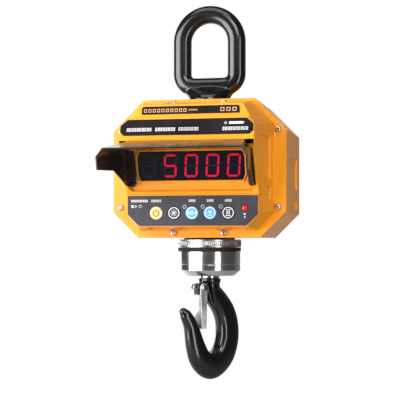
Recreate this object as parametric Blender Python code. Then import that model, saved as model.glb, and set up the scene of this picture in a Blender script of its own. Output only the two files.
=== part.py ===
"""Crane scale with a lifting eye, a cast housing with a display, and a swivel hook.

Metres, +Z up, the display looks along -Y. The origin is the inner crown of the lifting eye,
where a crane's hook carries the scale, so the load axis is X = Y = 0.
"""

import math

import bmesh
import bpy
from mathutils import Matrix, Vector

# Clearance between pieces that touch in the real object.
GAP = 0.0003
ROUND = 28

# Lifting eye.
EYE_TOP = 0.0240
EYE_SIDE = 0.0368
EYE_BAR = 0.0121
EYE_DEPTH = 0.0113
EYE_CROWN_BAR = EYE_TOP / 2
EYE_FLOOR = -0.0722
EYE_CORNER = 0.0168
EYE_FOOT_R = 0.0280
EYE_FOOT_TOP = -0.0990
EYE_FOOT_END = -0.1130
EYE_SHANK_R = 0.0180
EYE_SHANK_END = -0.1600
EYE_HOLE_R = 0.0310
EYE_PIN_Z = -0.1420
EYE_PIN_R = 0.0040

# Housing octagon, seen from the front.
HALF_W = 0.1129
TOP = -0.1090
BOTTOM = -0.2862
TOP_CUT = 0.0400
BOTTOM_CUT = 0.0328
WALL = 0.0060
RIM = 0.0150
FLANGE_Y = -0.0714
BODY_FRONT = -0.0628
BODY_REAR = 0.0540
GASKET = 0.0006
REAR_FLANGE_END = 0.0620
REAR_FACE = 0.0820
BLOCK_BASE = 0.0980

# Side faces: corners (y, z) of each sunk panel, and the blind holes.
SIDE_POCKETS = (
    ((-0.0430, -0.1830), (0.0370, -0.1800), (0.0370, -0.2210), (-0.0430, -0.2210)),
    ((-0.0060, -0.2350), (0.0370, -0.2350), (0.0370, -0.2480), (0.0080, -0.2480)),
)
SIDE_HOLES = (-0.1565, -0.2493)
SIDE_HOLE_Y = -0.0220

# Front cover.
HEAD_TOP_Y, HEAD_TOP_Z = -0.1410, -0.1396
HEAD_LIP_Y, HEAD_LIP_Z = -0.1490, -0.1670
NAME_TOP_Y, NAME_TOP_Z = -0.1185, -0.1210
NAME_LOW_Y, NAME_LOW_Z = -0.1220, -0.1360
PANEL_Y = -0.1100
PANEL_HALF = 0.0842
PANEL_TOP = -0.2325
PANEL_SIDE_END = -0.2573
PANEL_END = -0.2726
PANEL_END_HALF = 0.0695
PANEL_WALL = 0.0045

# Ribs on each flank: (nearest y, top z, lowest z). Pockets under the panel: (left, right).
SCREW_RIBS = ((-0.1200, -0.1400, -0.1580), (-0.1060, -0.2400, -0.2560))
UNDERSIDE_POCKETS = ((-0.0640, -0.0400), (-0.0250, 0.0250), (0.0400, 0.0640))

# Display, in a plane that leans forward at its top.
DISPLAY_CENTRE = Vector((0.0, -0.11805, -0.1971))
DISPLAY_TILT = math.radians(16.55)
WINDOW = ((0.0644, 0.0183), (0.0677, 0.0112))
WINDOW_DEPTH = 0.0030
BEZEL_PROUD = 0.0010
BEZEL_RIM = 0.0026
FLOOR_DEPTH = 0.0015
FLOOR_WALL = 0.0050
DIGITS_HALF_W, DIGITS_HALF_H = 0.0660, 0.0162
RECESS_TOP = -0.1671
RECESS = ((0.0735, RECESS_TOP), (0.0810, -0.1770), (0.0813, -0.2240), (0.0760, -0.2285))

# Visor sheet.
VISOR_SHEET = 0.0020
VISOR_BEND_Y = -0.1480
VISOR_SIDE_X = 0.0795
VISOR_SCREW = (0.0753, -0.0228)
VISOR_HEAD_R = 0.0032

# Keypad.
KEY_PITCH = 0.02297
KEY_Z = -0.2555
KEY_R = 0.0083
KEY_NAMES = ("power", "light", "zero", "tare", "hold")
KEY_TRAVEL = 0.0008
LENS_AT = (0.0666, -0.2495)
LENS_R = 0.0040

# Screws: (x, z) of the front ones for x > 0, and of the rear ones.
FRONT_SCREWS = ((0.1028, -0.1491), (0.1028, -0.2475), (0.0327, -0.1146), (0.0327, -0.2802))
REAR_SCREWS = ((0.1036, -0.1600), (0.1036, -0.2360))
SCREW_HEAD_R = 0.0040
SCREW_SEAT_R = 0.0052
SCREW_SHANK_R = 0.0022
SCREW_LENGTH = 0.0160

# Load path below the housing.
CELL_R = 0.0260
CELL_WAIST_R = 0.0220
CELL_FOOT_R = 0.0360
CELL_TOP = -0.1240
STEM_TOP = -0.2210
STEM_FLANGE = (-0.2906, -0.3032)
STEM_FLANGE_R = 0.0292
RING_R = 0.0424
RING_TOP, RING_END = -0.2883, -0.2990
SEAL_END = -0.3040
SEAL_R = 0.0420
CUP_R = 0.0411
CUP_NECK_R = 0.0353
CUP_BORE_R = 0.0295
CUP_TOP, CUP_STEP, CUP_EDGE, CUP_END = -0.2898, -0.3043, -0.3294, -0.3364
CUP_FLOOR = -0.3270
CUP_HOLE_R = 0.0114
RACE_R = 0.0220
NUT_TOP, NUT_END = -0.3042, -0.3150
NUT_R = 0.0150
NUT_PIN_Z = -0.3095

# Hook. Its spine is (towards the tip, height, half depth, half width).
HOOK_TURN = math.radians(227.0)
THREAD_R = 0.0095
NECK_R = 0.0107
COLLAR_R = 0.0150
SHOULDER_R = 0.0138
COLLAR_TOP, COLLAR_END = -0.3398, -0.3458
HOOK_SPINE = (
    (0.0000, -0.3520, 0.0136, 0.0134),
    (-0.0030, -0.3590, 0.0140, 0.0128),
    (-0.0145, -0.3710, 0.0145, 0.0118),
    (-0.0245, -0.3860, 0.0155, 0.0115),
    (-0.0295, -0.4050, 0.0163, 0.0118),
    (-0.0285, -0.4260, 0.0166, 0.0120),
    (-0.0195, -0.4460, 0.0172, 0.0122),
    (-0.0015, -0.4573, 0.0179, 0.0122),
    (0.0150, -0.4480, 0.0156, 0.0118),
    (0.0240, -0.4290, 0.0130, 0.0110),
    (0.0310, -0.4030, 0.0096, 0.0092),
    (0.0388, -0.3885, 0.0080, 0.0076),
    (0.0430, -0.3828, 0.0048, 0.0046),
)
LATCH_PIVOT = (0.0150, -0.3522)
LATCH_LUG_R, LATCH_LUG_HALF = 0.0062, 0.0040
LATCH_INNER, LATCH_OUTER = 0.0078, 0.0094
LATCH_END = (0.0005, -0.0545)
# Side view (along, z) of the flats on the hook's neck that the latch's ears swing past.
EAR_FLAT = ((0.0075, -0.3440), (0.0300, -0.3440), (0.0300, -0.3850), (-0.0030, -0.3850), (0.0050, -0.3620))
# Corners (y, z) of what is cut away from the web's far side, above and below its wide part.
LATCH_CUTS = (
    ((-0.0120, -0.0130), (0.0040, -0.0130), (0.0030, -0.0290), (-0.0094, -0.0410), (-0.0120, -0.0410)),
    ((-0.0120, -0.0460), (-0.0094, -0.0460), (-0.0030, -0.0560), (-0.0120, -0.0560)),
)
BOLT_R = 0.0028

# Battery compartment.
TRAY_HALF_W, TRAY_TOP, TRAY_END = 0.0520, -0.1610, -0.2390
TRAY_FRONT = 0.0340
DOOR_HALF_W, DOOR_TOP, DOOR_END = 0.0600, -0.1530, -0.2470
DOOR_FRONT, DOOR_REAR = 0.0824, 0.0874
DOOR_AXIS = (-0.0640, 0.0860)
KNUCKLE_R = 0.0036
HINGE_PIN_R = 0.0016
KNOB_AT = (0.0420, -0.2000)


# ---------------------------------------------------------------- materials

def finish(name, colour, roughness, metallic=0.0):
    """A plain Principled material."""
    material = bpy.data.materials.new(name)
    material.use_nodes = True
    material.diffuse_color = (*colour, 1.0)
    shader = material.node_tree.nodes["Principled BSDF"]
    shader.inputs["Base Color"].default_value = (*colour, 1.0)
    shader.inputs["Roughness"].default_value = roughness
    shader.inputs["Metallic"].default_value = metallic
    return material


def dress(obj, colour, roughness, metallic=0.0):
    """Give an object a material of its own."""
    obj.data.materials.clear()
    obj.data.materials.append(finish(obj.name, colour, roughness, metallic))
    return obj


ORANGE = ((0.91, 0.36, 0.012), 0.32, 0.0)
BLACK_PAINT = ((0.012, 0.012, 0.013), 0.28, 0.0)
BLACK_PLASTIC = ((0.016, 0.015, 0.016), 0.22, 0.0)
RUBBER = ((0.02, 0.02, 0.02), 0.7, 0.0)
STEEL = ((0.62, 0.62, 0.62), 0.25, 1.0)
BRIGHT = ((0.78, 0.78, 0.79), 0.12, 1.0)
BOARD = ((0.02, 0.13, 0.06), 0.5, 0.0)


# ---------------------------------------------------------------- shapes

def new_object(name, bm):
    """Turn a bmesh into an object, with outward faces."""
    bmesh.ops.recalc_face_normals(bm, faces=bm.faces)
    mesh = bpy.data.meshes.new(name)
    bm.to_mesh(mesh)
    bm.free()
    obj = bpy.data.objects.new(name, mesh)
    bpy.context.scene.collection.objects.link(obj)
    return obj


def soften(obj, degrees=35.0):
    """Smooth shading on round faces only."""
    obj.data.shade_smooth()
    obj.data.set_sharp_from_angle(angle=math.radians(degrees))
    return obj


def hull(name, points):
    """The convex solid round some points."""
    bm = bmesh.new()
    verts = [bm.verts.new(point) for point in points]
    made = bmesh.ops.convex_hull(bm, input=verts)
    bmesh.ops.delete(bm, geom=made["geom_interior"], context="VERTS")
    bmesh.ops.dissolve_limit(bm, angle_limit=math.radians(0.3), verts=bm.verts, edges=bm.edges)
    return new_object(name, bm)


def box(name, low, high):
    """A block from its lowest to its highest corner."""
    return hull(name, [(x, y, z) for x in (low[0], high[0])
                       for y in (low[1], high[1]) for z in (low[2], high[2])])


def prism(name, outline, near, far):
    """An (x, z) outline extruded along Y from near to far."""
    bm = bmesh.new()
    face = bm.faces.new([bm.verts.new((x, near, z)) for x, z in outline])
    made = bmesh.ops.extrude_face_region(bm, geom=[face])
    moved = [item for item in made["geom"] if isinstance(item, bmesh.types.BMVert)]
    bmesh.ops.translate(bm, verts=moved, vec=(0.0, far - near, 0.0))
    return new_object(name, bm)


def lathe(name, profile, steps=ROUND, closed=False):
    """An (r, z) profile turned round Z. A closed profile makes a ring."""
    bm = bmesh.new()
    verts = [bm.verts.new((r, 0.0, z)) for r, z in profile]
    ends = verts[1:] + verts[:1] if closed else verts[1:]
    edges = [bm.edges.new(pair) for pair in zip(verts, ends)]
    bmesh.ops.spin(bm, geom=verts + edges, axis=(0, 0, 1), cent=(0, 0, 0),
                   angle=math.tau, steps=steps, use_merge=True)
    bmesh.ops.remove_doubles(bm, verts=bm.verts, dist=1e-6)
    return soften(new_object(name, bm))


def ring(name, inner, outer, low, high, steps=ROUND):
    """A plain washer."""
    return lathe(name, ((inner, high), (outer, high), (outer, low), (inner, low)), steps, True)


def rod(name, radius, near, far, steps=16):
    """A round bar along Z."""
    return lathe(name, ((0.0, far), (radius, far), (radius, near), (0.0, near)), steps)


def loft(name, rings, closed=False):
    """Join rings of equally many points with quads, and cap the ends of an open one."""
    bm = bmesh.new()
    rows = [[bm.verts.new(point) for point in points] for points in rings]
    ends = rows[1:] + rows[:1] if closed else rows[1:]
    for near, far in zip(rows, ends):
        for i in range(len(near)):
            j = (i + 1) % len(near)
            bm.faces.new((near[i], near[j], far[j], far[i]))
    if not closed:
        bm.faces.new(rows[0])
        bm.faces.new(rows[-1])
    return soften(new_object(name, bm), 50.0)


def ellipse(centre, across, half_a, out, half_b, sides):
    """Points of an ellipse at centre, in the plane of the unit vectors across and out."""
    turns = [math.tau * i / sides for i in range(sides)]
    return [centre + across * (half_a * math.cos(t)) + out * (half_b * math.sin(t)) for t in turns]


def combine(target, helper, operation):
    """Boolean a helper into or out of a target, and leave the helper out of the model."""
    helper.hide_render = True
    helper.display_type = "WIRE"
    modifier = target.modifiers.new(helper.name, "BOOLEAN")
    modifier.operation = operation
    modifier.solver = "EXACT"
    modifier.object = helper
    return target


def cut(target, helper):
    return combine(target, helper, "DIFFERENCE")


def join(target, helper):
    return combine(target, helper, "UNION")


def place(obj, location, turn=0.0, tilt=0.0, along_y=False):
    """Move an object. along_y turns its own Z axis to +Y first."""
    turned = Matrix.Rotation(math.radians(-90.0), 4, "X") if along_y else Matrix.Identity(4)
    obj.matrix_world = (Matrix.Translation(location) @ Matrix.Rotation(turn, 4, "Z")
                        @ Matrix.Rotation(tilt, 4, "X") @ turned)
    return obj


def mirrored(points):
    """Each point and its mirror image in X."""
    return [p for x, y, z in points for p in ((x, y, z), (-x, y, z))]


def both_sides(outline):
    """A half outline (x > 0, top to bottom) closed with its mirror image."""
    return list(outline) + [(-x, z) for x, z in reversed(outline)]


def octagon(inset=0.0):
    """The housing's outline, moved in by inset."""
    corner = inset * math.tan(math.radians(22.5))
    half, top, low = HALF_W - inset, TOP - inset, BOTTOM + inset
    return both_sides((
        (HALF_W - TOP_CUT - corner, top), (half, TOP - TOP_CUT - corner),
        (half, BOTTOM + BOTTOM_CUT + corner), (HALF_W - BOTTOM_CUT - corner, low)))


# ---------------------------------------------------------------- lifting eye and load cell

def eye_path():
    """Closed path of the eye's bar as (x, z, half thickness in the loop's plane)."""
    crown_z = EYE_CROWN_BAR - EYE_SIDE
    floor_z = EYE_FLOOR - EYE_BAR
    path = []
    for i in range(13):
        turn = math.pi * i / 12
        thick = EYE_BAR + (EYE_CROWN_BAR - EYE_BAR) * math.sin(turn)
        path.append((EYE_SIDE * math.cos(turn), crown_z + EYE_SIDE * math.sin(turn), thick))
    for side, first in ((-1, 180.0), (1, 270.0)):
        for i in range(5):
            turn = math.radians(first + 90.0 * i / 4)
            centre_x = side * (EYE_SIDE - EYE_CORNER)
            path.append((centre_x + EYE_CORNER * math.cos(turn),
                         floor_z + EYE_CORNER + EYE_CORNER * math.sin(turn), EYE_BAR))
    return path


def eye_loop():
    """The forged loop, an oval bar bent round the path."""
    path = eye_path()
    rings = []
    for i, (x, z, thick) in enumerate(path):
        before, after = path[i - 1], path[(i + 1) % len(path)]
        along = Vector((after[0] - before[0], 0.0, after[1] - before[1])).normalized()
        across = Vector((along.z, 0.0, -along.x))
        rings.append(ellipse(Vector((x, 0.0, z)), across, thick, Vector((0, 1, 0)), EYE_DEPTH, 10))
    return loft("lifting_eye", rings, closed=True)


def build_eye():
    eye = eye_loop()
    levels = ((-0.0790, 0.0440, 0.0080), (-0.0850, 0.0412, 0.0116), (-0.0923, 0.0338, 0.0205),
              (EYE_FOOT_TOP, EYE_FOOT_R, EYE_FOOT_R), (EYE_FOOT_END, EYE_FOOT_R, EYE_FOOT_R))
    foot = loft("eye_foot", [ellipse(Vector((0, 0, z)), Vector((1, 0, 0)), a, Vector((0, 1, 0)), b, 24)
                             for z, a, b in levels])
    join(eye, foot)
    join(eye, rod("eye_shank", EYE_SHANK_R, EYE_SHANK_END, EYE_FOOT_END + 0.004, 24))
    cut(eye, place(rod("eye_pin_hole", EYE_PIN_R + GAP, -0.04, 0.04), (0, 0, EYE_PIN_Z), math.pi / 2,
                   along_y=True))
    dress(eye, *BLACK_PAINT)
    dress(ring("eye_seal", EYE_FOOT_R + GAP, EYE_HOLE_R - GAP, -0.1145, TOP - 0.001), *RUBBER)


def build_load_cell():
    foot_top = BOTTOM + WALL + GAP + 0.008
    low = BOTTOM + WALL + GAP
    bore = EYE_SHANK_R + GAP
    cell = lathe("load_cell", (
        (0.0, EYE_SHANK_END - 0.001), (bore, EYE_SHANK_END - 0.001), (bore, CELL_TOP), (CELL_R, CELL_TOP),
        (CELL_R, -0.1560), (CELL_WAIST_R, -0.1600), (CELL_WAIST_R, -0.2220), (CELL_R, -0.2260),
        (CELL_R, foot_top), (CELL_FOOT_R, foot_top), (CELL_FOOT_R, low), (bore, low),
        (bore, STEM_TOP + 0.001), (0.0, STEM_TOP + 0.001)), 24)
    cut(cell, place(rod("cell_pin_hole", EYE_PIN_R + GAP, -0.04, 0.04), (0, 0, EYE_PIN_Z), math.pi / 2,
                    along_y=True))
    dress(cell, *STEEL)
    pin = place(rod("eye_lock_pin", EYE_PIN_R, -CELL_R + 0.001, CELL_R - 0.001), (0, 0, EYE_PIN_Z),
                math.pi / 2, along_y=True)
    dress(pin, *STEEL)


# ---------------------------------------------------------------- housing

def build_housing_body():
    body = prism("housing_body", octagon(), BODY_FRONT, BODY_REAR)
    cut(body, prism("body_opening", octagon(RIM), BODY_FRONT - 0.01, BODY_REAR + 0.01))
    cut(body, prism("body_cavity", octagon(WALL), BODY_FRONT + 0.0128, BODY_REAR - 0.0120))
    cut(body, rod("eye_hole", EYE_HOLE_R, TOP - 0.02, TOP + 0.01, 24))
    cut(body, rod("stem_hole", EYE_SHANK_R + 0.004, BOTTOM - 0.01, BOTTOM + 0.02, 24))
    for side in (-1, 1):
        inner, outer = side * (HALF_W - 0.003), side * (HALF_W + 0.01)
        for number, outline in enumerate(SIDE_POCKETS):
            cut(body, hull(f"side_pocket_{side}_{number}", [(x, y, z) for x in (inner, outer)
                                                            for y, z in outline]))
        for number, z in enumerate(SIDE_HOLES):
            hole = rod(f"side_hole_{side}_{number}", 0.0022, -0.004, 0.004, 10)
            cut(body, place(hole, (side * HALF_W, SIDE_HOLE_Y, z), math.pi / 2, along_y=True))
    for name, x, z, sign in screw_places():
        start = BODY_FRONT if sign < 0 else BODY_REAR
        hole = rod(f"{name}_socket", SCREW_SHANK_R + GAP, -0.010, 0.010, 10)
        cut(body, place(hole, (x, start, z), along_y=True))
    dress(body, *ORANGE)


def build_gaskets():
    for name, near in (("front_gasket", BODY_FRONT - GAP), ("rear_gasket", BODY_REAR + GAP + GASKET)):
        gasket = prism(name, octagon(0.0095), near - GASKET, near)
        cut(gasket, prism(f"{name}_opening", octagon(RIM), near - 0.01, near + 0.01))
        for label, x, z, _ in screw_places():
            hole = rod(f"{name}_{label}", SCREW_SHANK_R + GAP, -0.003, 0.003, 10)
            cut(gasket, place(hole, (x, near, z), along_y=True))
        dress(gasket, *RUBBER)


def screw_places():
    """(name, x, z, side) of each cover screw, where side is -1 at the front and 1 at the rear."""
    found = []
    for prefix, places, sign in (("front_screw", FRONT_SCREWS, -1), ("rear_screw", REAR_SCREWS, 1)):
        spots = [(x * side, z) for x, z in places for side in (-1, 1)]
        found += [(f"{prefix}_{i + 1}", x, z, sign) for i, (x, z) in enumerate(spots)]
    return found


def build_screws():
    """Domed screws, whose heads stand on the two flanges."""
    profile = ((0.0, 0.0036), (0.0022, 0.0032), (SCREW_HEAD_R, 0.0015), (SCREW_HEAD_R, 0.0),
               (SCREW_SHANK_R, 0.0), (SCREW_SHANK_R, -SCREW_LENGTH), (0.0, -SCREW_LENGTH))
    for name, x, z, sign in screw_places():
        seat = FLANGE_Y - GAP if sign < 0 else REAR_FLANGE_END + GAP
        screw = lathe(name, profile, 10)
        turn = math.pi if sign < 0 else 0.0
        dress(place(screw, (x, seat, z), turn, along_y=True), *BRIGHT)


# ---------------------------------------------------------------- front cover

def display_y(z, depth):
    """Y of the tilted plane that lies depth behind the window's face, at height z."""
    foot_y = DISPLAY_CENTRE.y + depth * math.cos(DISPLAY_TILT)
    foot_z = DISPLAY_CENTRE.z + depth * math.sin(DISPLAY_TILT)
    return foot_y - (z - foot_z) * math.tan(DISPLAY_TILT)


def name_step():
    return hull("name_step", mirrored((
        (0.0700, FLANGE_Y + 0.004, -0.1125), (BLOCK_BASE, FLANGE_Y + 0.004, -0.1405),
        (BLOCK_BASE, FLANGE_Y + 0.004, -0.1700), (0.0610, -0.1150, -0.1188),
        (0.0660, NAME_TOP_Y, NAME_TOP_Z), (0.0740, NAME_LOW_Y, NAME_LOW_Z), (0.0840, NAME_LOW_Y, -0.1500))))


def head_block():
    return hull("head_block", mirrored((
        (0.0760, FLANGE_Y + 0.003, -0.1370), (BLOCK_BASE - 0.001, FLANGE_Y + 0.003, -0.1420),
        (BLOCK_BASE - 0.001, FLANGE_Y + 0.003, -0.2350), (0.0750, -0.1180, -0.1374),
        (0.0750, HEAD_TOP_Y, HEAD_TOP_Z), (0.0840, HEAD_TOP_Y - 0.0026, HEAD_TOP_Z - 0.0089),
        (0.0845, HEAD_LIP_Y, HEAD_LIP_Z), (0.0845, -0.1470, -0.1780),
        (PANEL_HALF, PANEL_Y - 0.001, PANEL_TOP))))


def keypad_block():
    return hull("keypad_block", mirrored((
        (BLOCK_BASE + 0.0005, FLANGE_Y + 0.005, -0.1500), (BLOCK_BASE + 0.0005, FLANGE_Y + 0.005, -0.2520),
        (0.0785, FLANGE_Y + 0.005, -0.2775), (PANEL_HALF - 0.0004, PANEL_Y, -0.1900),
        (PANEL_HALF - 0.0004, PANEL_Y, PANEL_SIDE_END), (PANEL_END_HALF, PANEL_Y, PANEL_END))))


def screw_ribs():
    """Ribs that run down each flank to the side screws."""
    foot = FLANGE_Y + 0.0014
    for side in (-1, 1):
        for number, (near_y, top, low) in enumerate(SCREW_RIBS):
            points = [(side * 0.0830, y, z) for y in (near_y, foot) for z in (top, low)]
            points += [(side * 0.0970, y, z) for y in (FLANGE_Y - 0.0060, foot)
                       for z in (top - 0.0030, low + 0.0026)]
            yield hull(f"screw_rib_{side}_{number}", points)


def underside_pockets():
    """Cutters of the shallow pockets in the slope under the keypad panel."""
    mouth = ((-0.1040, -0.2800), (-0.0735, -0.2830))
    floor = ((-0.1010, -0.2712), (-0.0740, -0.2742))
    for number, (left, right) in enumerate(UNDERSIDE_POCKETS):
        points = [(x, y, z) for x in (left, right) for y, z in mouth]
        points += [(x, y, z) for x in (left + 0.0030, right - 0.0030) for y, z in floor]
        yield hull(f"underside_pocket_{number}", points)


def upper_cavity():
    depth = FLOOR_DEPTH + FLOOR_WALL
    return hull("upper_cavity", mirrored((
        (0.0660, -0.0600, -0.1240), (0.0900, -0.0600, -0.1480), (0.0900, -0.0600, -0.2350),
        (0.0580, -0.1100, -0.1280), (0.0770, display_y(-0.1680, depth), -0.1680),
        (0.0770, display_y(-0.2280, depth), -0.2280))))


def keypad_cavity():
    wall_y = PANEL_Y + PANEL_WALL
    return hull("keypad_cavity", mirrored((
        (0.0905, -0.0590, -0.2200), (0.0905, -0.0590, -0.2490), (0.0720, -0.0590, -0.2700),
        (0.0790, wall_y, -0.2320), (0.0790, wall_y, -0.2545), (0.0660, wall_y, -0.2675))))


def display_recess():
    """The sunk field round the window, with its floor parallel to the window."""
    floor = [(x, display_y(z, FLOOR_DEPTH), z) for x, z in RECESS]
    mouth = [(x, -0.1800, z) for x, z in RECESS]
    return hull("display_recess", mirrored(floor + mouth))


def window_outline(grow):
    (top_x, half_h), (side_x, side_z) = WINDOW
    return both_sides(((top_x + grow * 0.4, half_h + grow), (side_x + grow, side_z + grow * 0.4),
                       (side_x + grow, -side_z - grow * 0.4), (top_x + grow * 0.4, -half_h - grow)))


def on_display(obj):
    """Put an object made round the origin into the window's plane."""
    return place(obj, DISPLAY_CENTRE, tilt=DISPLAY_TILT)


def flank_x(y):
    """X of the cover's sloping flank at depth y."""
    share = (y - HEAD_LIP_Y) / (FLANGE_Y - HEAD_LIP_Y)
    return PANEL_HALF + (BLOCK_BASE - PANEL_HALF) * share


def flank_pockets():
    """Cutters of the trapezoid pocket and of the lower pocket in each flank."""
    outlines = (((-0.1230, -0.1600), (-0.0815, -0.1600), (-0.0815, -0.2130), (-0.1080, -0.2090)),
                ((-0.0980, -0.2220), (-0.0800, -0.2220), (-0.0800, -0.2380), (-0.0980, -0.2380)))
    for side in (-1, 1):
        for number, outline in enumerate(outlines):
            points = [(side * (flank_x(y) + out), y, z) for y, z in outline for out in (-0.0045, 0.0120)]
            yield hull(f"flank_pocket_{side}_{number}", points)


def key_places():
    return [(f"key_{name}", (i - 2) * KEY_PITCH) for i, name in enumerate(KEY_NAMES)]


def panel_holes(prefix, near, far):
    """Cutters for the keys and the receiver lens, through anything between near and far."""
    spots = [(name, x, KEY_Z, KEY_R, 20) for name, x in key_places()]
    spots.append(("lens", *LENS_AT, LENS_R, 12))
    for name, x, z, radius, steps in spots:
        hole = rod(f"{prefix}_{name}_hole", radius + GAP, near, far, steps)
        yield place(hole, (x, 0.0, z), along_y=True)


def build_front_cover():
    cover = prism("front_cover", octagon(), FLANGE_Y, BODY_FRONT - GASKET - 2 * GAP)
    for block in (name_step(), head_block(), keypad_block(), *screw_ribs()):
        join(cover, block)
    cut(cover, upper_cavity())
    cut(cover, keypad_cavity())
    cut(cover, display_recess())
    join(cover, on_display(prism("bezel", window_outline(BEZEL_RIM), -BEZEL_PROUD, FLOOR_DEPTH + 0.002)))
    cut(cover, on_display(prism("window_seat", window_outline(GAP), -0.02, WINDOW_DEPTH + GAP)))
    wide, high = DIGITS_HALF_W + GAP, DIGITS_HALF_H + GAP
    cut(cover, on_display(box("digit_opening", (-wide, -0.01, -high), (wide, 0.02, high))))
    for cutter in (*flank_pockets(), *underside_pockets(), *panel_holes("cover", -0.125, -0.095)):
        cut(cover, cutter)
    for name, x, z, sign in screw_places():
        if sign < 0:
            cut(cover, place(rod(f"{name}_hole", SCREW_SHANK_R + GAP, -0.02, 0.02, 10),
                             (x, FLANGE_Y, z), along_y=True))
            cut(cover, place(rod(f"{name}_seat", SCREW_SEAT_R, -0.07, 0.0, 12), (x, FLANGE_Y, z), along_y=True))
    for side in (-1, 1):
        cut(cover, visor_screw_rod(f"visor_hole_{side}", side, 0.0016 + GAP, -0.01, 0.012))
    dress(cover, *ORANGE)


def build_plates():
    """The two dark strips on the head, each lying on its own leaning face."""
    lean = math.atan2(NAME_TOP_Y - NAME_LOW_Y, NAME_TOP_Z - NAME_LOW_Z)
    name = prism("name_plate", both_sides(((0.0600, 0.0051), (0.0620, 0.0031), (0.0620, -0.0051))),
                 -GAP - 0.0005, -GAP)
    middle = (0.0, NAME_LOW_Y + (-0.1281 - NAME_LOW_Z) * math.tan(lean), -0.1281)
    dress(place(name, middle, tilt=-lean), *BLACK_PLASTIC)
    lean = math.atan2(HEAD_TOP_Y - HEAD_LIP_Y, HEAD_TOP_Z - HEAD_LIP_Z)
    outline = both_sides(((0.0744, 0.0103), (0.0830, 0.0026), (0.0830, -0.0056), (0.0785, -0.0104)))
    rating = prism("rating_plate", outline, -GAP - 0.0005, -GAP)
    middle = (0.0, HEAD_LIP_Y + (-0.1515 - HEAD_LIP_Z) * math.tan(lean), -0.1515)
    dress(place(rating, middle, tilt=-lean), *BLACK_PLASTIC)


# ---------------------------------------------------------------- display and visor

def build_display():
    window = prism("display_window", window_outline(0.0), 0.0, WINDOW_DEPTH)
    dress(on_display(window), (0.012, 0.012, 0.025), 0.06)
    back = WINDOW_DEPTH + GAP
    digits = box("digit_display", (-DIGITS_HALF_W, back, -DIGITS_HALF_H),
                 (DIGITS_HALF_W, back + 0.0075, DIGITS_HALF_H))
    dress(on_display(digits), (0.10, 0.005, 0.008), 0.4)
    start = back + 0.0075 + GAP
    board = box("display_board", (-0.0690, start, -0.0200), (0.0690, start + 0.0016, 0.0200))
    dress(on_display(board), *BOARD)


def visor_screw_rod(name, side, radius, near, far, steps=10):
    """A bar through one arm of the visor, square to the window."""
    across, up = VISOR_SCREW
    bar = rod(name, radius, near, far, steps)
    offset = Matrix.Translation((side * across, 0.0, up)) @ Matrix.Rotation(math.radians(-90.0), 4, "X")
    bar.matrix_world = (Matrix.Translation(DISPLAY_CENTRE) @ Matrix.Rotation(DISPLAY_TILT, 4, "X") @ offset)
    return bar


def visor_half(side):
    """Corners of one half of the folded sheet, by name."""
    middle = FLOOR_DEPTH - GAP - VISOR_SHEET / 2

    def arm(x, z):
        return (side * x, display_y(z, middle), z)

    def flare(y, z):
        return (side * (VISOR_SIDE_X - (y - VISOR_BEND_Y) * 0.1159), y, z)

    edge_x = VISOR_SIDE_X
    return {
        "top_back": (side * 0.0720, -0.1310, -0.1689), "top_bend": (side * 0.0720, VISOR_BEND_Y, -0.1689),
        "top_front": (side * 0.0820, -0.2270, -0.1831), "shoulder_back": arm(edge_x, -0.1783),
        "shoulder_bend": (side * edge_x, VISOR_BEND_Y, -0.1783), "shoulder_front": flare(-0.2300, -0.1931),
        "low_front": flare(-0.2270, -0.2081), "low_middle": flare(-0.1760, -0.2060),
        "low_bend": (side * edge_x, VISOR_BEND_Y, -0.2170), "low_back": (side * edge_x, -0.1330, -0.2220),
        "arm_end": arm(edge_x, -0.2220), "arm_toe": arm(0.0745, -0.2225),
        "arm_heel": arm(0.0713, -0.2185), "arm_top": arm(0.0713, -0.1783),
    }


def build_visor():
    bm = bmesh.new()
    halves = []
    for side in (-1, 1):
        half = {name: bm.verts.new(point) for name, point in visor_half(side).items()}
        for names in (("top_bend", "shoulder_bend", "shoulder_front", "top_front"),
                      ("top_back", "shoulder_back", "shoulder_bend", "top_bend"),
                      ("shoulder_bend", "low_bend", "low_middle", "low_front", "shoulder_front"),
                      ("shoulder_back", "arm_end", "low_back", "low_bend", "shoulder_bend"),
                      ("shoulder_back", "arm_top", "arm_heel", "arm_toe", "arm_end")):
            bm.faces.new([half[name] for name in names])
        halves.append(half)
    for near, far in (("top_back", "top_bend"), ("top_bend", "top_front")):
        bm.faces.new((halves[0][near], halves[1][near], halves[1][far], halves[0][far]))
    visor = new_object("visor", bm)
    sheet = visor.modifiers.new("sheet", "SOLIDIFY")
    sheet.thickness = VISOR_SHEET
    sheet.offset = 0.0
    sheet.use_even_offset = True
    for side in (-1, 1):
        label = "left" if side < 0 else "right"
        cut(visor, visor_screw_rod(f"visor_bore_{label}", side, 0.0016 + GAP, -0.01, 0.01))
        screw = visor_screw_rod(f"visor_screw_{label}", side, 0.0016, -0.0022, 0.0070)
        top = FLOOR_DEPTH - GAP - VISOR_SHEET - GAP
        join(screw, visor_screw_rod(f"visor_head_{label}", side, VISOR_HEAD_R, top - 0.0022, top, 12))
        dress(screw, *BLACK_PAINT)
    dress(visor, *BLACK_PLASTIC)


# ---------------------------------------------------------------- keypad

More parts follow.
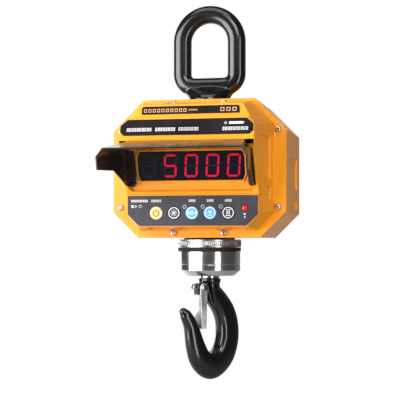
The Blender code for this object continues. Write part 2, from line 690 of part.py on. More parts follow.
def build_keypad():
    front = PANEL_Y - GAP
    outline = both_sides(((0.0832, -0.2339), (0.0832, -0.2569), (0.0687, -0.2716)))
    overlay = prism("keypad_overlay", outline, front - 0.0008, front)
    for cutter in panel_holes("overlay", -0.120, -0.100):
        cut(overlay, cutter)
    dress(overlay, (0.030, 0.029, 0.036), 0.38)
    colours = ((0.85, 0.55, 0.03), (0.035, 0.034, 0.042), (0.02, 0.20, 0.55), (0.02, 0.20, 0.55),
               (0.035, 0.034, 0.042))
    behind = PANEL_WALL + GAP
    profile = ((0.0, -0.0022), (KEY_R - 0.0008, -0.0022), (KEY_R, -0.0014), (KEY_R, behind),
               (KEY_R + 0.0013, behind), (KEY_R + 0.0013, behind + 0.0013), (0.0, behind + 0.0013))
    for (name, x), colour in zip(key_places(), colours):
        dress(place(lathe(name, profile, 20), (x, PANEL_Y, KEY_Z), along_y=True), colour, 0.35)
    board_y = PANEL_Y + behind + 0.0013 + KEY_TRAVEL + 2 * GAP
    dress(box("keypad_board", (-0.0660, board_y, -0.2655), (0.0660, board_y + 0.0016, -0.2370)), *BOARD)
    lens = lathe("receiver_lens", ((0.0, -0.0030), (0.0024, -0.0026), (LENS_R, -0.0012), (LENS_R, behind),
                                   (LENS_R + 0.001, behind), (LENS_R + 0.001, behind + 0.001),
                                   (0.0, behind + 0.001)), 12)
    dress(place(lens, (LENS_AT[0], PANEL_Y, LENS_AT[1]), along_y=True), (0.55, 0.01, 0.02), 0.15)


# ---------------------------------------------------------------- rear cover and battery

def rear_bulge(name, near, far, inset):
    """The rear cover's raised field, or the hollow inside it."""
    base = ((0.0700, -0.1180), (BLOCK_BASE, -0.1460), (BLOCK_BASE, -0.2500), (0.0780, -0.2750))
    face = ((0.0600, -0.1270), (0.0850, -0.1520), (0.0850, -0.2440), (0.0690, -0.2640))
    middle = (TOP + BOTTOM) / 2
    points = [(x - inset, near, z - math.copysign(inset, z - middle)) for x, z in base]
    points += [(x - inset, far, z - math.copysign(inset, z - middle)) for x, z in face]
    return hull(name, mirrored(points))


def hinge_rod(name, radius, low, high, steps=12):
    return place(rod(name, radius, low, high, steps), (*DOOR_AXIS, 0.0))


def build_rear_cover():
    cover = prism("rear_cover", octagon(), BODY_REAR + GASKET + 2 * GAP, REAR_FLANGE_END)
    join(cover, rear_bulge("rear_bulge", REAR_FLANGE_END - 0.004, REAR_FACE, 0.0))
    cut(cover, rear_bulge("rear_hollow", BODY_REAR - 0.01, REAR_FACE - 0.004, 0.006))
    opening = TRAY_HALF_W + GAP
    cut(cover, box("tray_opening", (-opening, 0.06, TRAY_END - GAP), (opening, 0.10, TRAY_TOP + GAP)))
    x, y = DOOR_AXIS
    for name, low, high in (("upper", -0.1846, -0.1650), ("lower", -0.2350, -0.2154)):
        join(cover, box(f"{name}_lug", (x - 0.0030, REAR_FACE - 0.002, low), (x + 0.0030, y, high)))
        join(cover, hinge_rod(f"{name}_knuckle", KNUCKLE_R, low, high))
        cut(cover, hinge_rod(f"{name}_knuckle_hole", HINGE_PIN_R + GAP, low - 0.001, high + 0.001, 10))
    for name, x, z, sign in screw_places():
        if sign > 0:
            hole = rod(f"{name}_hole", SCREW_SHANK_R + GAP, -0.02, 0.02, 10)
            cut(cover, place(hole, (x, REAR_FLANGE_END, z), along_y=True))
            seat = rod(f"{name}_seat", SCREW_SEAT_R, 0.0, 0.03, 12)
            cut(cover, place(seat, (x, REAR_FLANGE_END, z), along_y=True))
    dress(cover, *ORANGE)


def build_battery():
    wall = 0.002
    tray = box("battery_tray", (-TRAY_HALF_W, TRAY_FRONT, TRAY_END), (TRAY_HALF_W, REAR_FACE, TRAY_TOP))
    cut(tray, box("tray_room", (wall - TRAY_HALF_W, TRAY_FRONT + wall, TRAY_END + wall),
                  (TRAY_HALF_W - wall, REAR_FACE + 0.01, TRAY_TOP - wall)))
    dress(tray, *BLACK_PLASTIC)
    pack = box("battery_pack", (-0.0490, TRAY_FRONT + wall + GAP, -0.2360), (0.0490, 0.0760, -0.1640))
    dress(pack, (0.05, 0.10, 0.28), 0.45)


def build_door():
    """The battery door lies in the XZ plane and turns about its hinge pin."""
    x, y = DOOR_AXIS
    door = box("battery_door", (-DOOR_HALF_W - x, DOOR_FRONT - y, DOOR_END),
               (DOOR_HALF_W - x, DOOR_REAR - y, DOOR_TOP))
    place(door, (x, y, 0.0))
    join(door, box("door_web", (x, y - 0.0010, -0.2150),
                   (0.002 - DOOR_HALF_W, DOOR_REAR - 0.0003, -0.1850)))
    join(door, hinge_rod("door_barrel", KNUCKLE_R, -0.2151, -0.1849))
    cut(door, hinge_rod("door_barrel_hole", HINGE_PIN_R + GAP, -0.2200, -0.1800, 10))
    knob_x, knob_z = KNOB_AT
    cut(door, place(rod("knob_hole", 0.0040 + GAP, 0.07, 0.10, 16), (knob_x, 0, knob_z), along_y=True))
    dress(door, *ORANGE)
    dress(hinge_rod("door_hinge_pin", HINGE_PIN_R, -0.2370, -0.1630, 10), *STEEL)
    profile = ((0.0, 0.0025), (0.0100, 0.0025), (0.0100, GAP), (0.0040, GAP), (0.0040, -0.0054),
               (0.0055, -0.0054), (0.0055, -0.0074), (0.0, -0.0074))
    knob = place(lathe("door_knob", profile, 20), (knob_x, DOOR_REAR, knob_z), along_y=True)
    grip = box("knob_grip", (-0.0085, 0.0020, -0.0022), (0.0085, 0.0090, 0.0022))
    join(knob, place(grip, (knob_x, DOOR_REAR, knob_z)))
    dress(knob, *BLACK_PLASTIC)


def build_main_board():
    board = box("main_board", (-0.0760, -0.0500, -0.2400), (0.0760, -0.0484, -0.1500))
    join(board, box("converter", (-0.0500, -0.0480 - 0.001, -0.1850), (-0.0250, -0.0440, -0.1650)))
    join(board, box("processor", (0.0150, -0.0480 - 0.001, -0.2150), (0.0350, -0.0455, -0.1950)))
    dress(board, *BOARD)


# ---------------------------------------------------------------- swivel

def build_swivel():
    stem = lathe("load_stem", ((0.0, STEM_TOP), (EYE_SHANK_R, STEM_TOP), (EYE_SHANK_R, STEM_FLANGE[0]),
                               (STEM_FLANGE_R, STEM_FLANGE[0]), (STEM_FLANGE_R, STEM_FLANGE[1]),
                               (0.0, STEM_FLANGE[1])), 24)
    dress(stem, *STEEL)
    dress(ring("bottom_seal", EYE_SHANK_R + GAP, 0.0340, CUP_TOP + GAP, BOTTOM - GAP), *RUBBER)
    neck = CUP_NECK_R + GAP
    lock = lathe("knurled_ring", (
        (neck, RING_TOP), (RING_R - 0.0006, RING_TOP), (RING_R, RING_TOP - 0.0006),
        (RING_R, RING_END + GAP + 0.0006), (RING_R - 0.0006, RING_END + GAP), (neck, RING_END + GAP)),
        36, True)
    dress(lock, *BRIGHT)
    dress(ring("seal_ring", neck, SEAL_R, SEAL_END, RING_END, 32), *RUBBER)
    cup = lathe("bearing_housing", (
        (CUP_BORE_R, CUP_TOP), (CUP_NECK_R, CUP_TOP), (CUP_NECK_R, CUP_STEP), (CUP_R, CUP_STEP),
        (CUP_R, CUP_EDGE), (0.0335, CUP_END), (CUP_HOLE_R, CUP_END), (CUP_HOLE_R, CUP_FLOOR),
        (CUP_BORE_R, CUP_FLOOR)), 36, True)
    dress(cup, *BRIGHT)
    low = CUP_FLOOR + GAP
    dress(ring("lower_race", CUP_HOLE_R, RACE_R, low, low + 0.0030, 24), *STEEL)
    balls = [(0.0165 + 0.0023 * math.cos(t), low + 0.0056 + 0.0023 * math.sin(t))
             for t in (math.tau * i / 8 for i in range(8))]
    dress(lathe("ball_ring", balls, 24, True), *BRIGHT)
    dress(ring("upper_race", THREAD_R + GAP, RACE_R, low + 0.0082, NUT_END - GAP, 24), *STEEL)
    dress(ring("swivel_bush", NECK_R + GAP, 0.0130, COLLAR_TOP + GAP, CUP_END - GAP, 24), *BRIGHT)


# ---------------------------------------------------------------- hook and latch

def in_hook(along, out, up):
    """World place of a point of the hook: towards its tip, square to its plane, and up."""
    return Matrix.Rotation(HOOK_TURN, 4, "Z") @ Vector((along, out, up))


def smooth_spine(points, parts=2):
    """Extra points between the given ones, on a smooth curve through them."""
    rows = [Vector(p[:4]) for p in points]
    rows = [2 * rows[0] - rows[1], *rows, 2 * rows[-1] - rows[-2]]
    found = []
    for a, b, c, d in zip(rows, rows[1:], rows[2:], rows[3:]):
        for i in range(parts):
            t = i / parts
            found.append(0.5 * (2 * b + (c - a) * t + (2 * a - 5 * b + 4 * c - d) * t ** 2
                                + (3 * b - a - 3 * c + d) * t ** 3))
    return [*found, rows[-2]]


def hook_section(centre, across, depth, width, sides=12):
    """A forged section, wider on the inner side, which across points to."""
    points = []
    for i in range(sides):
        turn = math.tau * i / sides
        half = width * (1.0 + 0.14 * math.cos(turn))
        points.append(centre + across * (depth * math.cos(turn)) + Vector((0, half * math.sin(turn), 0)))
    return points


def hook_bow():
    spine = smooth_spine(HOOK_SPINE)
    rings = []
    for i, (along, up, depth, width) in enumerate(spine):
        before, after = spine[max(i - 1, 0)], spine[min(i + 1, len(spine) - 1)]
        run = Vector((after[0] - before[0], 0.0, after[1] - before[1])).normalized()
        rings.append(hook_section(Vector((along, 0.0, up)), Vector((-run.z, 0.0, run.x)), depth, width))
    return place(loft("hook", rings), (0, 0, 0), HOOK_TURN)


def latch_rod(name, radius, near, far, steps=14):
    """A bar on the latch's axis, from near to far out of the hook's plane."""
    along, up = LATCH_PIVOT
    return place(rod(name, radius, near, far, steps), in_hook(along, 0.0, up), HOOK_TURN, along_y=True)


def build_hook():
    hook = hook_bow()
    join(hook, lathe("hook_shank", (
        (0.0, -0.3046), (0.0088, -0.3046), (THREAD_R, -0.3056), (THREAD_R, -0.3268), (NECK_R, -0.3285),
        (NECK_R, COLLAR_TOP), (COLLAR_R, COLLAR_TOP), (COLLAR_R, COLLAR_END), (SHOULDER_R, -0.3468),
        (SHOULDER_R, -0.3540), (0.0, -0.3600)), 24))
    for side in (-1, 1):
        points = [(s, side * y, z) for s, z in EAR_FLAT for y in (LATCH_LUG_HALF + 0.0002, 0.0200)]
        cut(hook, place(hull(f"ear_flat_{side}", points), (0, 0, 0), HOOK_TURN))
    join(hook, latch_rod("latch_lug", LATCH_LUG_R, -LATCH_LUG_HALF, LATCH_LUG_HALF, 16))
    cut(hook, latch_rod("lug_hole", BOLT_R + GAP, -0.03, 0.03))
    pin_place = dict(location=(0, 0, NUT_PIN_Z), turn=HOOK_TURN, along_y=True)
    cut(hook, place(rod("shank_pin_hole", 0.0018 + GAP, -0.02, 0.02, 10), **pin_place))
    dress(hook, *BLACK_PAINT)
    nut = rod("hook_nut", NUT_R, NUT_END, NUT_TOP, 6)
    place(nut, (0, 0, 0), HOOK_TURN)
    cut(nut, rod("nut_bore", THREAD_R + GAP, NUT_END - 0.01, NUT_TOP + 0.01, 24))
    cut(nut, place(rod("nut_pin_hole", 0.0018 + GAP, -0.02, 0.02, 10), **pin_place))
    dress(nut, *STEEL)
    dress(place(rod("nut_pin", 0.0018, -0.0120, 0.0120, 10), **pin_place), *STEEL)


def latch_outline(near, far):
    """Side view of the latch round its pivot: a round eye, and a blade from depth near to far."""
    end_x, end_z = LATCH_END
    eye = [(0.0060 * math.cos(math.radians(a)), 0.0060 * math.sin(math.radians(a)))
           for a in range(0, 181, 30)]
    return [*eye, (near, -0.008), (end_x - 0.0042, end_z), (end_x + 0.0035, end_z), (far, -0.008)]


def build_latch():
    """Bent sheet: a long near ear, a short far ear, and a web on the side of the hook's tip."""
    outline = latch_outline(-0.0048, 0.0058)
    latch = prism("latch", outline, LATCH_INNER, LATCH_OUTER)
    short = [*outline[:7], (-0.0048, -0.0130), (0.0054, -0.0130)]
    join(latch, prism("far_ear", short, -LATCH_OUTER, -LATCH_INNER))
    end_x, end_z = LATCH_END
    slope = (end_x + 0.0035 - 0.0058) / (end_z + 0.008)
    start = (0.0058 + slope * -0.0015, -0.0095)
    web = ((start[0] - 0.0020, start[1]), (start[0] - 0.0001, start[1]),
           (end_x + 0.0034, end_z + 0.0002), (end_x + 0.0014, end_z + 0.0002))
    join(latch, prism("latch_web", web, -LATCH_OUTER + 0.0002, LATCH_OUTER - 0.0002))
    for number, edge in enumerate(LATCH_CUTS):
        cut(latch, hull(f"latch_cut_{number}", [(x, y, z) for x in (-0.0100, 0.0200) for y, z in edge]))
    for piece in ("latch", "far_ear", "latch_web", "latch_cut_0", "latch_cut_1"):
        place(bpy.data.objects[piece], in_hook(LATCH_PIVOT[0], 0.0, LATCH_PIVOT[1]), HOOK_TURN)
    cut(latch, latch_rod("latch_bore", BOLT_R + GAP, -0.03, 0.03))
    dress(latch, *STEEL)
    bolt = latch_rod("latch_bolt", BOLT_R, -LATCH_OUTER - 0.0060, LATCH_OUTER + 0.0009)
    join(bolt, latch_rod("bolt_head", 0.0048, LATCH_OUTER + GAP, LATCH_OUTER + 0.0036, 12))
    dress(bolt, *BRIGHT)
    nut = latch_rod("latch_nut", 0.0055, -LATCH_OUTER - GAP - 0.0042, -LATCH_OUTER - GAP, 6)
    cut(nut, latch_rod("latch_nut_bore", BOLT_R + GAP, -0.03, 0.03))
    dress(nut, *BLACK_PAINT)


def build_latch_spring():
    """A torsion coil round the bolt, between the hook's lug and the near ear."""
    wire, radius, turns, steps = 0.00055, 0.0037, 1.5, 8
    start = LATCH_LUG_HALF + wire + GAP
    rise = (LATCH_INNER - LATCH_LUG_HALF - 2 * wire - 2 * GAP) / turns
    curve = bpy.data.curves.new("latch_spring", "CURVE")
    curve.dimensions = "3D"
    curve.bevel_depth = wire
    curve.bevel_resolution = 1
    curve.use_fill_caps = True
    spline = curve.splines.new("POLY")
    count = int(turns * steps) + 1
    spline.points.add(count - 1)
    for i in range(count):
        turn = math.tau * i / steps
        point = (radius * math.cos(turn), start + rise * i / steps, radius * math.sin(turn), 1.0)
        spline.points[i].co = point
    spring = bpy.data.objects.new("latch_spring", curve)
    bpy.context.scene.collection.objects.link(spring)
    place(spring, in_hook(LATCH_PIVOT[0], 0.0, LATCH_PIVOT[1]), HOOK_TURN)
    dress(spring, *STEEL)


def main():
    for obj in list(bpy.data.objects):
        bpy.data.objects.remove(obj)
    build_eye()
    build_load_cell()
    build_housing_body()
    build_gaskets()
    build_front_cover()
    build_screws()
    build_plates()
    build_display()
    build_visor()
    build_keypad()
    build_rear_cover()
    build_battery()
    build_door()
    build_main_board()
    build_swivel()
    build_hook()
    build_latch()
    build_latch_spring()


main()
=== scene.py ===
"""Looks of a crane scale: a forged eye and hook, a cast housing, a display, a keypad and a visor.

Metres, +Z up, the display looks along -Y. The origin is the inner crown of the lifting eye.
"""

from __future__ import annotations

import logging
import math
from collections.abc import Callable, Iterable, Sequence
from dataclasses import dataclass, field
from enum import Enum

import bmesh
import bpy
from mathutils import Matrix, Vector
from mathutils.bvhtree import BVHTree


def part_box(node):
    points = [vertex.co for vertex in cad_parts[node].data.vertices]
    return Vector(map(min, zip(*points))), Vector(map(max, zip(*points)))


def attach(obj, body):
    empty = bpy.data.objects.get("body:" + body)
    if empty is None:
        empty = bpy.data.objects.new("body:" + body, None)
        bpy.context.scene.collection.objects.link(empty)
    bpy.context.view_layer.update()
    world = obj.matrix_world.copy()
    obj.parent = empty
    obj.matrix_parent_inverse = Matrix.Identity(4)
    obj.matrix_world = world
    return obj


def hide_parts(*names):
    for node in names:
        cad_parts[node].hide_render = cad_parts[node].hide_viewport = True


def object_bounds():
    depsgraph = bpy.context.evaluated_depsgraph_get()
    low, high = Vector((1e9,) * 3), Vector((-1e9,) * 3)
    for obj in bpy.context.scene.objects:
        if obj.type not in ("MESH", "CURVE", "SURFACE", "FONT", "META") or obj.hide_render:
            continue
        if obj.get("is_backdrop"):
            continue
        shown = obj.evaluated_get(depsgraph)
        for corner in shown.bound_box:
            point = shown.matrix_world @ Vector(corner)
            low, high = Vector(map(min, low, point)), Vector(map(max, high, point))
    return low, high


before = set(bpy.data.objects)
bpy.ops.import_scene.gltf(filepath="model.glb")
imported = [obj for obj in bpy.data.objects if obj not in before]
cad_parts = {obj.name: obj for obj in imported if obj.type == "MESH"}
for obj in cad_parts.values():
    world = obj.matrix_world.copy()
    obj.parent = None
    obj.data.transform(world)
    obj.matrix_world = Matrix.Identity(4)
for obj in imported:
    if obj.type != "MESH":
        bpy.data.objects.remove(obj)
CAD_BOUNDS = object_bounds()

log = logging.getLogger("crane_scale")

Object = bpy.types.Object
Material = bpy.types.Material
Pair = tuple[float, float]
Triple = tuple[float, float, float]

ROOT = "root"
FULL_TURN = 2.0 * math.pi
ACROSS, DEEP = Vector((1.0, 0.0, 0.0)), Vector((0.0, 1.0, 0.0))
COPLANAR = math.radians(0.6)  # faces that meet flatter than this are one face
STRAY_SHARE = 0.6             # a rounding's points lie nearer to the casting than this share of its width
BLOCK_SHARE = 0.68            # width of a printed block for a pitch of 1
PRINT = 0.00006               # thickness of printed marks


class Slot(Enum):
    """The record's material slots."""

    ORANGE_PAINT = "orange_paint"
    BLACK_PAINT = "black_paint"
    VISOR_PLASTIC = "visor_plastic"
    BLACK_PLASTIC = "black_plastic"
    RUBBER = "rubber"
    BRIGHT_STEEL = "bright_steel"
    STEEL = "steel"
    DISPLAY_GLASS = "display_glass"
    DIGITS = "digits"
    OVERLAY_FILM = "overlay_film"
    KEY_YELLOW = "key_yellow"
    KEY_CHARCOAL = "key_charcoal"
    KEY_BLUE = "key_blue"
    RED_LENS = "red_lens"
    BOARD = "board"
    BATTERY_WRAP = "battery_wrap"


# ---------------------------------------------------------------- mesh helpers

def link_mesh(name: str, bm: bmesh.types.BMesh, sharp: float = 40.0) -> Object:
    """Turn a bmesh into a closed, outward-facing object.

    Args:
        name: Name of the object.
        bm: The geometry, which is freed.
        sharp: Edges steeper than this many degrees keep a hard line.

    Returns:
        The new object, linked to the scene.
    """
    bmesh.ops.remove_doubles(bm, verts=bm.verts, dist=1e-7)
    bmesh.ops.recalc_face_normals(bm, faces=bm.faces)
    mesh = bpy.data.meshes.new(name)
    bm.to_mesh(mesh)
    bm.free()
    mesh.shade_smooth()
    mesh.set_sharp_from_angle(angle=math.radians(sharp))
    obj = bpy.data.objects.new(name, mesh)
    bpy.context.scene.collection.objects.link(obj)
    return obj


def settle(obj: Object) -> Object:
    """Apply every modifier, so that only the finished mesh is left.

    Args:
        obj: The object with its modifiers.

    Returns:
        The same object.
    """
    depsgraph = bpy.context.evaluated_depsgraph_get()
    mesh = bpy.data.meshes.new_from_object(obj.evaluated_get(depsgraph), depsgraph=depsgraph)
    obj.modifiers.clear()
    old = obj.data
    obj.data = mesh
    bpy.data.meshes.remove(old)
    mesh.name = obj.name
    return obj


def add_loft(bm: bmesh.types.BMesh, rings: Sequence[Sequence[Vector]], closed: bool = False) -> None:
    """Join rings of equally many points with quads, and cap the ends of an open run.

    Args:
        bm: The mesh to add to.
        rings: The rings, in order.
        closed: True joins the last ring to the first.
    """
    rows = [[bm.verts.new(point) for point in points] for points in rings]
    ends = rows[1:] + rows[:1] if closed else rows[1:]
    for near, far in zip(rows, ends):
        for i in range(len(near)):
            j = (i + 1) % len(near)
            bm.faces.new((near[i], near[j], far[j], far[i]))
    if not closed:
        bm.faces.new(rows[0])
        bm.faces.new(rows[-1])


def round_corners(points: Sequence[Pair], radius: float, parts: int = 3, closed: bool = False) -> list[Pair]:
    """Round the corners of an outline with short curves.

    Args:
        points: The corners.
        radius: How far from each corner its curve starts.
        parts: Pieces in each curve.
        closed: True when the outline's ends meet.

    Returns:
        The rounded outline.
    """
    rounded: list[Pair] = []
    for i, point in enumerate(points):
        if not closed and i in (0, len(points) - 1):
            rounded.append((point[0], point[1]))
            continue
        here = Vector(point)
        back = Vector(points[i - 1]) - here
        on = Vector(points[(i + 1) % len(points)]) - here
        reach = min(radius, 0.45 * back.length, 0.45 * on.length)
        start = here + back.normalized() * reach
        end = here + on.normalized() * reach
        for k in range(parts + 1):
            t = k / parts
            spot = start * (1 - t) ** 2 + here * (2 * t * (1 - t)) + end * t ** 2
            rounded.append((spot.x, spot.y))
    return rounded


def lathe(name: str, profile: Sequence[Pair], steps: int = 96, closed: bool = False) -> Object:
    """Turn an (r, z) profile round Z.

    Args:
        name: Name of the object.
        profile: The outline from the top of the axis outwards and down.
        steps: Facets in a full turn.
        closed: True makes a ring from a closed profile.

    Returns:
        The turned object.
    """
    bm = bmesh.new()
    verts = [bm.verts.new((r, 0.0, z)) for r, z in profile]
    ends = verts[1:] + verts[:1] if closed else verts[1:]
    edges = [bm.edges.new(pair) for pair in zip(verts, ends)]
    bmesh.ops.spin(bm, geom=verts + edges, axis=(0, 0, 1), cent=(0, 0, 0), angle=FULL_TURN,
                   steps=steps, use_merge=True)
    return link_mesh(name, bm, 35.0)


def moved(obj: Object, matrix: Matrix) -> Object:
    """Move an object's mesh, so that the object itself stays at the origin.

    Args:
        obj: The object.
        matrix: Its new place.

    Returns:
        The same object.
    """
    obj.data.transform(matrix)
    obj.data.update()
    return obj


def facing_front(location: Triple) -> Matrix:
    """Return a place whose own +Z looks along -Y in the world."""
    return Matrix.Translation(location) @ Matrix.Rotation(math.pi / 2, 4, "X")


def circle(radius: float, z: float, sides: int = 48) -> list[Vector]:
    """Return points on a circle round the load axis."""
    return [Vector((radius * math.cos(FULL_TURN * i / sides), radius * math.sin(FULL_TURN * i / sides), z))
            for i in range(sides)]


def fused(obj: Object, voxel: float, rounds: int) -> Object:
    """Join an object's overlapping shells into one skin with soft fillets.

    Args:
        obj: The object made of overlapping closed shells.
        voxel: Size of the grid.
        rounds: Rounds of smoothing.

    Returns:
        The same object.
    """
    remesh = obj.modifiers.new("fuse", "REMESH")
    remesh.mode = "VOXEL"
    remesh.voxel_size = voxel
    smooth = obj.modifiers.new("fair", "SMOOTH")
    smooth.factor = 0.5
    smooth.iterations = rounds
    settle(obj)
    obj.data.shade_smooth()
    return obj


def casting(node: str, width: float, angle: float = 24.0, shortest: float = 0.0016,
            segments: int = 3) -> Object:
    """A copy of a CAD node with its longer edges rounded, as cast or moulded edges are.

    Points that the rounding throws out, where facets are small, are brought back to the casting.

    Args:
        node: Name of the CAD node.
        width: Width of the rounding.
        angle: Edges flatter than this many degrees stay as they are.
        shortest: Edges shorter than this stay as they are.
        segments: Facets across each rounding.

    Returns:
        The finished copy.
    """
    bm = bmesh.new()
    bm.from_mesh(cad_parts[node].data)
    bmesh.ops.remove_doubles(bm, verts=bm.verts, dist=1e-5)
    bmesh.ops.dissolve_limit(bm, angle_limit=COPLANAR, verts=bm.verts, edges=bm.edges)
    weights = bm.edges.layers.float.new("bevel_weight_edge")
    for edge in bm.edges:
        if len(edge.link_faces) == 2 and edge.calc_length() > shortest:
            if edge.calc_face_angle() > math.radians(angle):
                edge[weights] = 1.0
    skin = BVHTree.FromBMesh(bm)
    obj = link_mesh(f"{node}_finished", bm)
    bevel = obj.modifiers.new("rounding", "BEVEL")
    bevel.limit_method = "WEIGHT"
    bevel.width = width
    bevel.segments = segments
    bevel.use_clamp_overlap = False
    bevel.miter_outer = "MITER_ARC"
    settle(obj)
    for vertex in obj.data.vertices:
        near, _, _, away = skin.find_nearest(vertex.co)
        if away > width * STRAY_SHARE:
            vertex.co = near
    normals = obj.modifiers.new("normals", "WEIGHTED_NORMAL")
    normals.keep_sharp = True
    normals.weight = 80
    obj.data.set_sharp_from_angle(angle=math.radians(180.0))
    settle(obj)
    return obj


def ellipse(centre: Vector, across: Vector, half_a: float, out: Vector, half_b: float,
            sides: int, power: float = 2.0, lean: float = 0.0) -> list[Vector]:
    """Points of a rounded section.

    Args:
        centre: Middle of the section.
        across: Unit vector of its first axis.
        half_a: Half size along the first axis.
        out: Unit vector of its second axis.
        half_b: Half size along the second axis.
        sides: Number of points.
        power: 2 is an ellipse, and more is squarer.
        lean: How much wider the section is on its positive first side.

    Returns:
        The points, in order.
    """
    points = []
    for i in range(sides):
        turn = FULL_TURN * i / sides
        cosine = math.copysign(abs(math.cos(turn)) ** (2.0 / power), math.cos(turn))
        sine = math.copysign(abs(math.sin(turn)) ** (2.0 / power), math.sin(turn))
        points.append(centre + across * (half_a * cosine) + out * (half_b * (1.0 + lean * cosine) * sine))
    return points


def smooth_rows(rows: Sequence[Sequence[float]], parts: int) -> list[Vector]:
    """Rows of numbers with more rows between them, on a smooth curve through the given ones.

    Args:
        rows: The given rows of up to four numbers.
        parts: Steps between two given rows.

    Returns:
        The rows, as vectors.
    """
    known = [Vector(row) for row in rows]
    known = [2 * known[0] - known[1], *known, 2 * known[-1] - known[-2]]
    found = []
    for a, b, c, d in zip(known, known[1:], known[2:], known[3:]):
        for i in range(parts):
            t = i / parts
            found.append(0.5 * (2 * b + (c - a) * t + (2 * a - 5 * b + 4 * c - d) * t ** 2
                                + (3 * b - a - 3 * c + d) * t ** 3))
    return [*found, known[-2]]


@dataclass
class Ink:
    """Thin raised shapes in one plane, such as printed marks and the segments of a digit."""

    shapes: list[list[Pair]] = field(default_factory=list)

    def polygon(self, points: Iterable[Pair]) -> Ink:
        """Add a filled outline."""
        self.shapes.append([(x, z) for x, z in points])
        return self

    def bar(self, x: float, z: float, width: float, height: float, turn: float = 0.0) -> Ink:
        """Add a bar.

        Args:
            x: Middle, across.
            z: Middle, up.
            width: Size across.
            height: Size up.
            turn: Turn in radians.

        Returns:
            This drawing.
        """
        cosine, sine = math.cos(turn), math.sin(turn)
        corners = [(a * width / 2, b * height / 2) for a, b in ((-1, -1), (1, -1), (1, 1), (-1, 1))]
        return self.polygon((x + a * cosine - b * sine, z + a * sine + b * cosine) for a, b in corners)

    def blocks(self, x: float, z: float, count: int, pitch: float, height: float, stroke: float) -> Ink:
        """Add a row of plain hollow blocks, where a line of print would stand.

        Args:
            x: Middle of the row.
            z: Middle, up.
            count: Number of blocks.
            pitch: Distance between two blocks.
            height: Height of a block.
            stroke: Width of its lines.

        Returns:
            This drawing.
        """
        wide = pitch * BLOCK_SHARE
        for i in range(count):
            middle = x + (i - (count - 1) / 2) * pitch
            for side in (-1, 1):
                self.bar(middle + side * (wide - stroke) / 2, z, stroke, height)
                self.bar(middle, z + side * (height - stroke) / 2, wide - 2 * stroke, stroke)
        return self

    def disc(self, radius: float, sides: int = 24) -> Ink:
        """Add a filled circle round the middle."""
        return self.polygon((spot.x, spot.y) for spot in circle(radius, 0.0, sides))

    def arc(self, x: float, z: float, inner: float, outer: float, start: float = 0.0,
            sweep: float = FULL_TURN, sides: int = 40) -> Ink:
        """Add a ring, or a part of one.

        Args:
            x: Middle, across.
            z: Middle, up.
            inner: Inner radius.
            outer: Outer radius.
            start: First angle.
            sweep: Angle covered.
            sides: Steps.

        Returns:
            This drawing.
        """
        for i in range(sides):
            low = start + sweep * i / sides
            high = start + sweep * (i + 1) / sides
            self.polygon([(x + r * math.cos(a), z + r * math.sin(a))
                          for r, a in ((inner, low), (outer, low), (outer, high), (inner, high))])
        return self

    def build(self, name: str, place: Matrix, thickness: float) -> Object:
        """Make the drawing solid.

        Args:
            name: Name of the object.
            place: Puts the plane y = 0, seen from -Y, into the world.
            thickness: How far the shapes stand out.

        Returns:
            The object, one closed shell for each run of touching shapes.
        """
        bm = bmesh.new()
        for outline in self.shapes:
            bm.faces.new([bm.verts.new((x, 0.0, z)) for x, z in outline])
        bmesh.ops.remove_doubles(bm, verts=bm.verts, dist=2e-6)
        bmesh.ops.recalc_face_normals(bm, faces=bm.faces)
        made = bmesh.ops.extrude_face_region(bm, geom=list(bm.faces), use_keep_orig=True)
        raised = [item for item in made["geom"] if isinstance(item, bmesh.types.BMVert)]
        bmesh.ops.translate(bm, verts=raised, vec=(0.0, -thickness, 0.0))
        obj = link_mesh(name, bm, 30.0)
        return moved(obj, place)


# ---------------------------------------------------------------- shader helpers

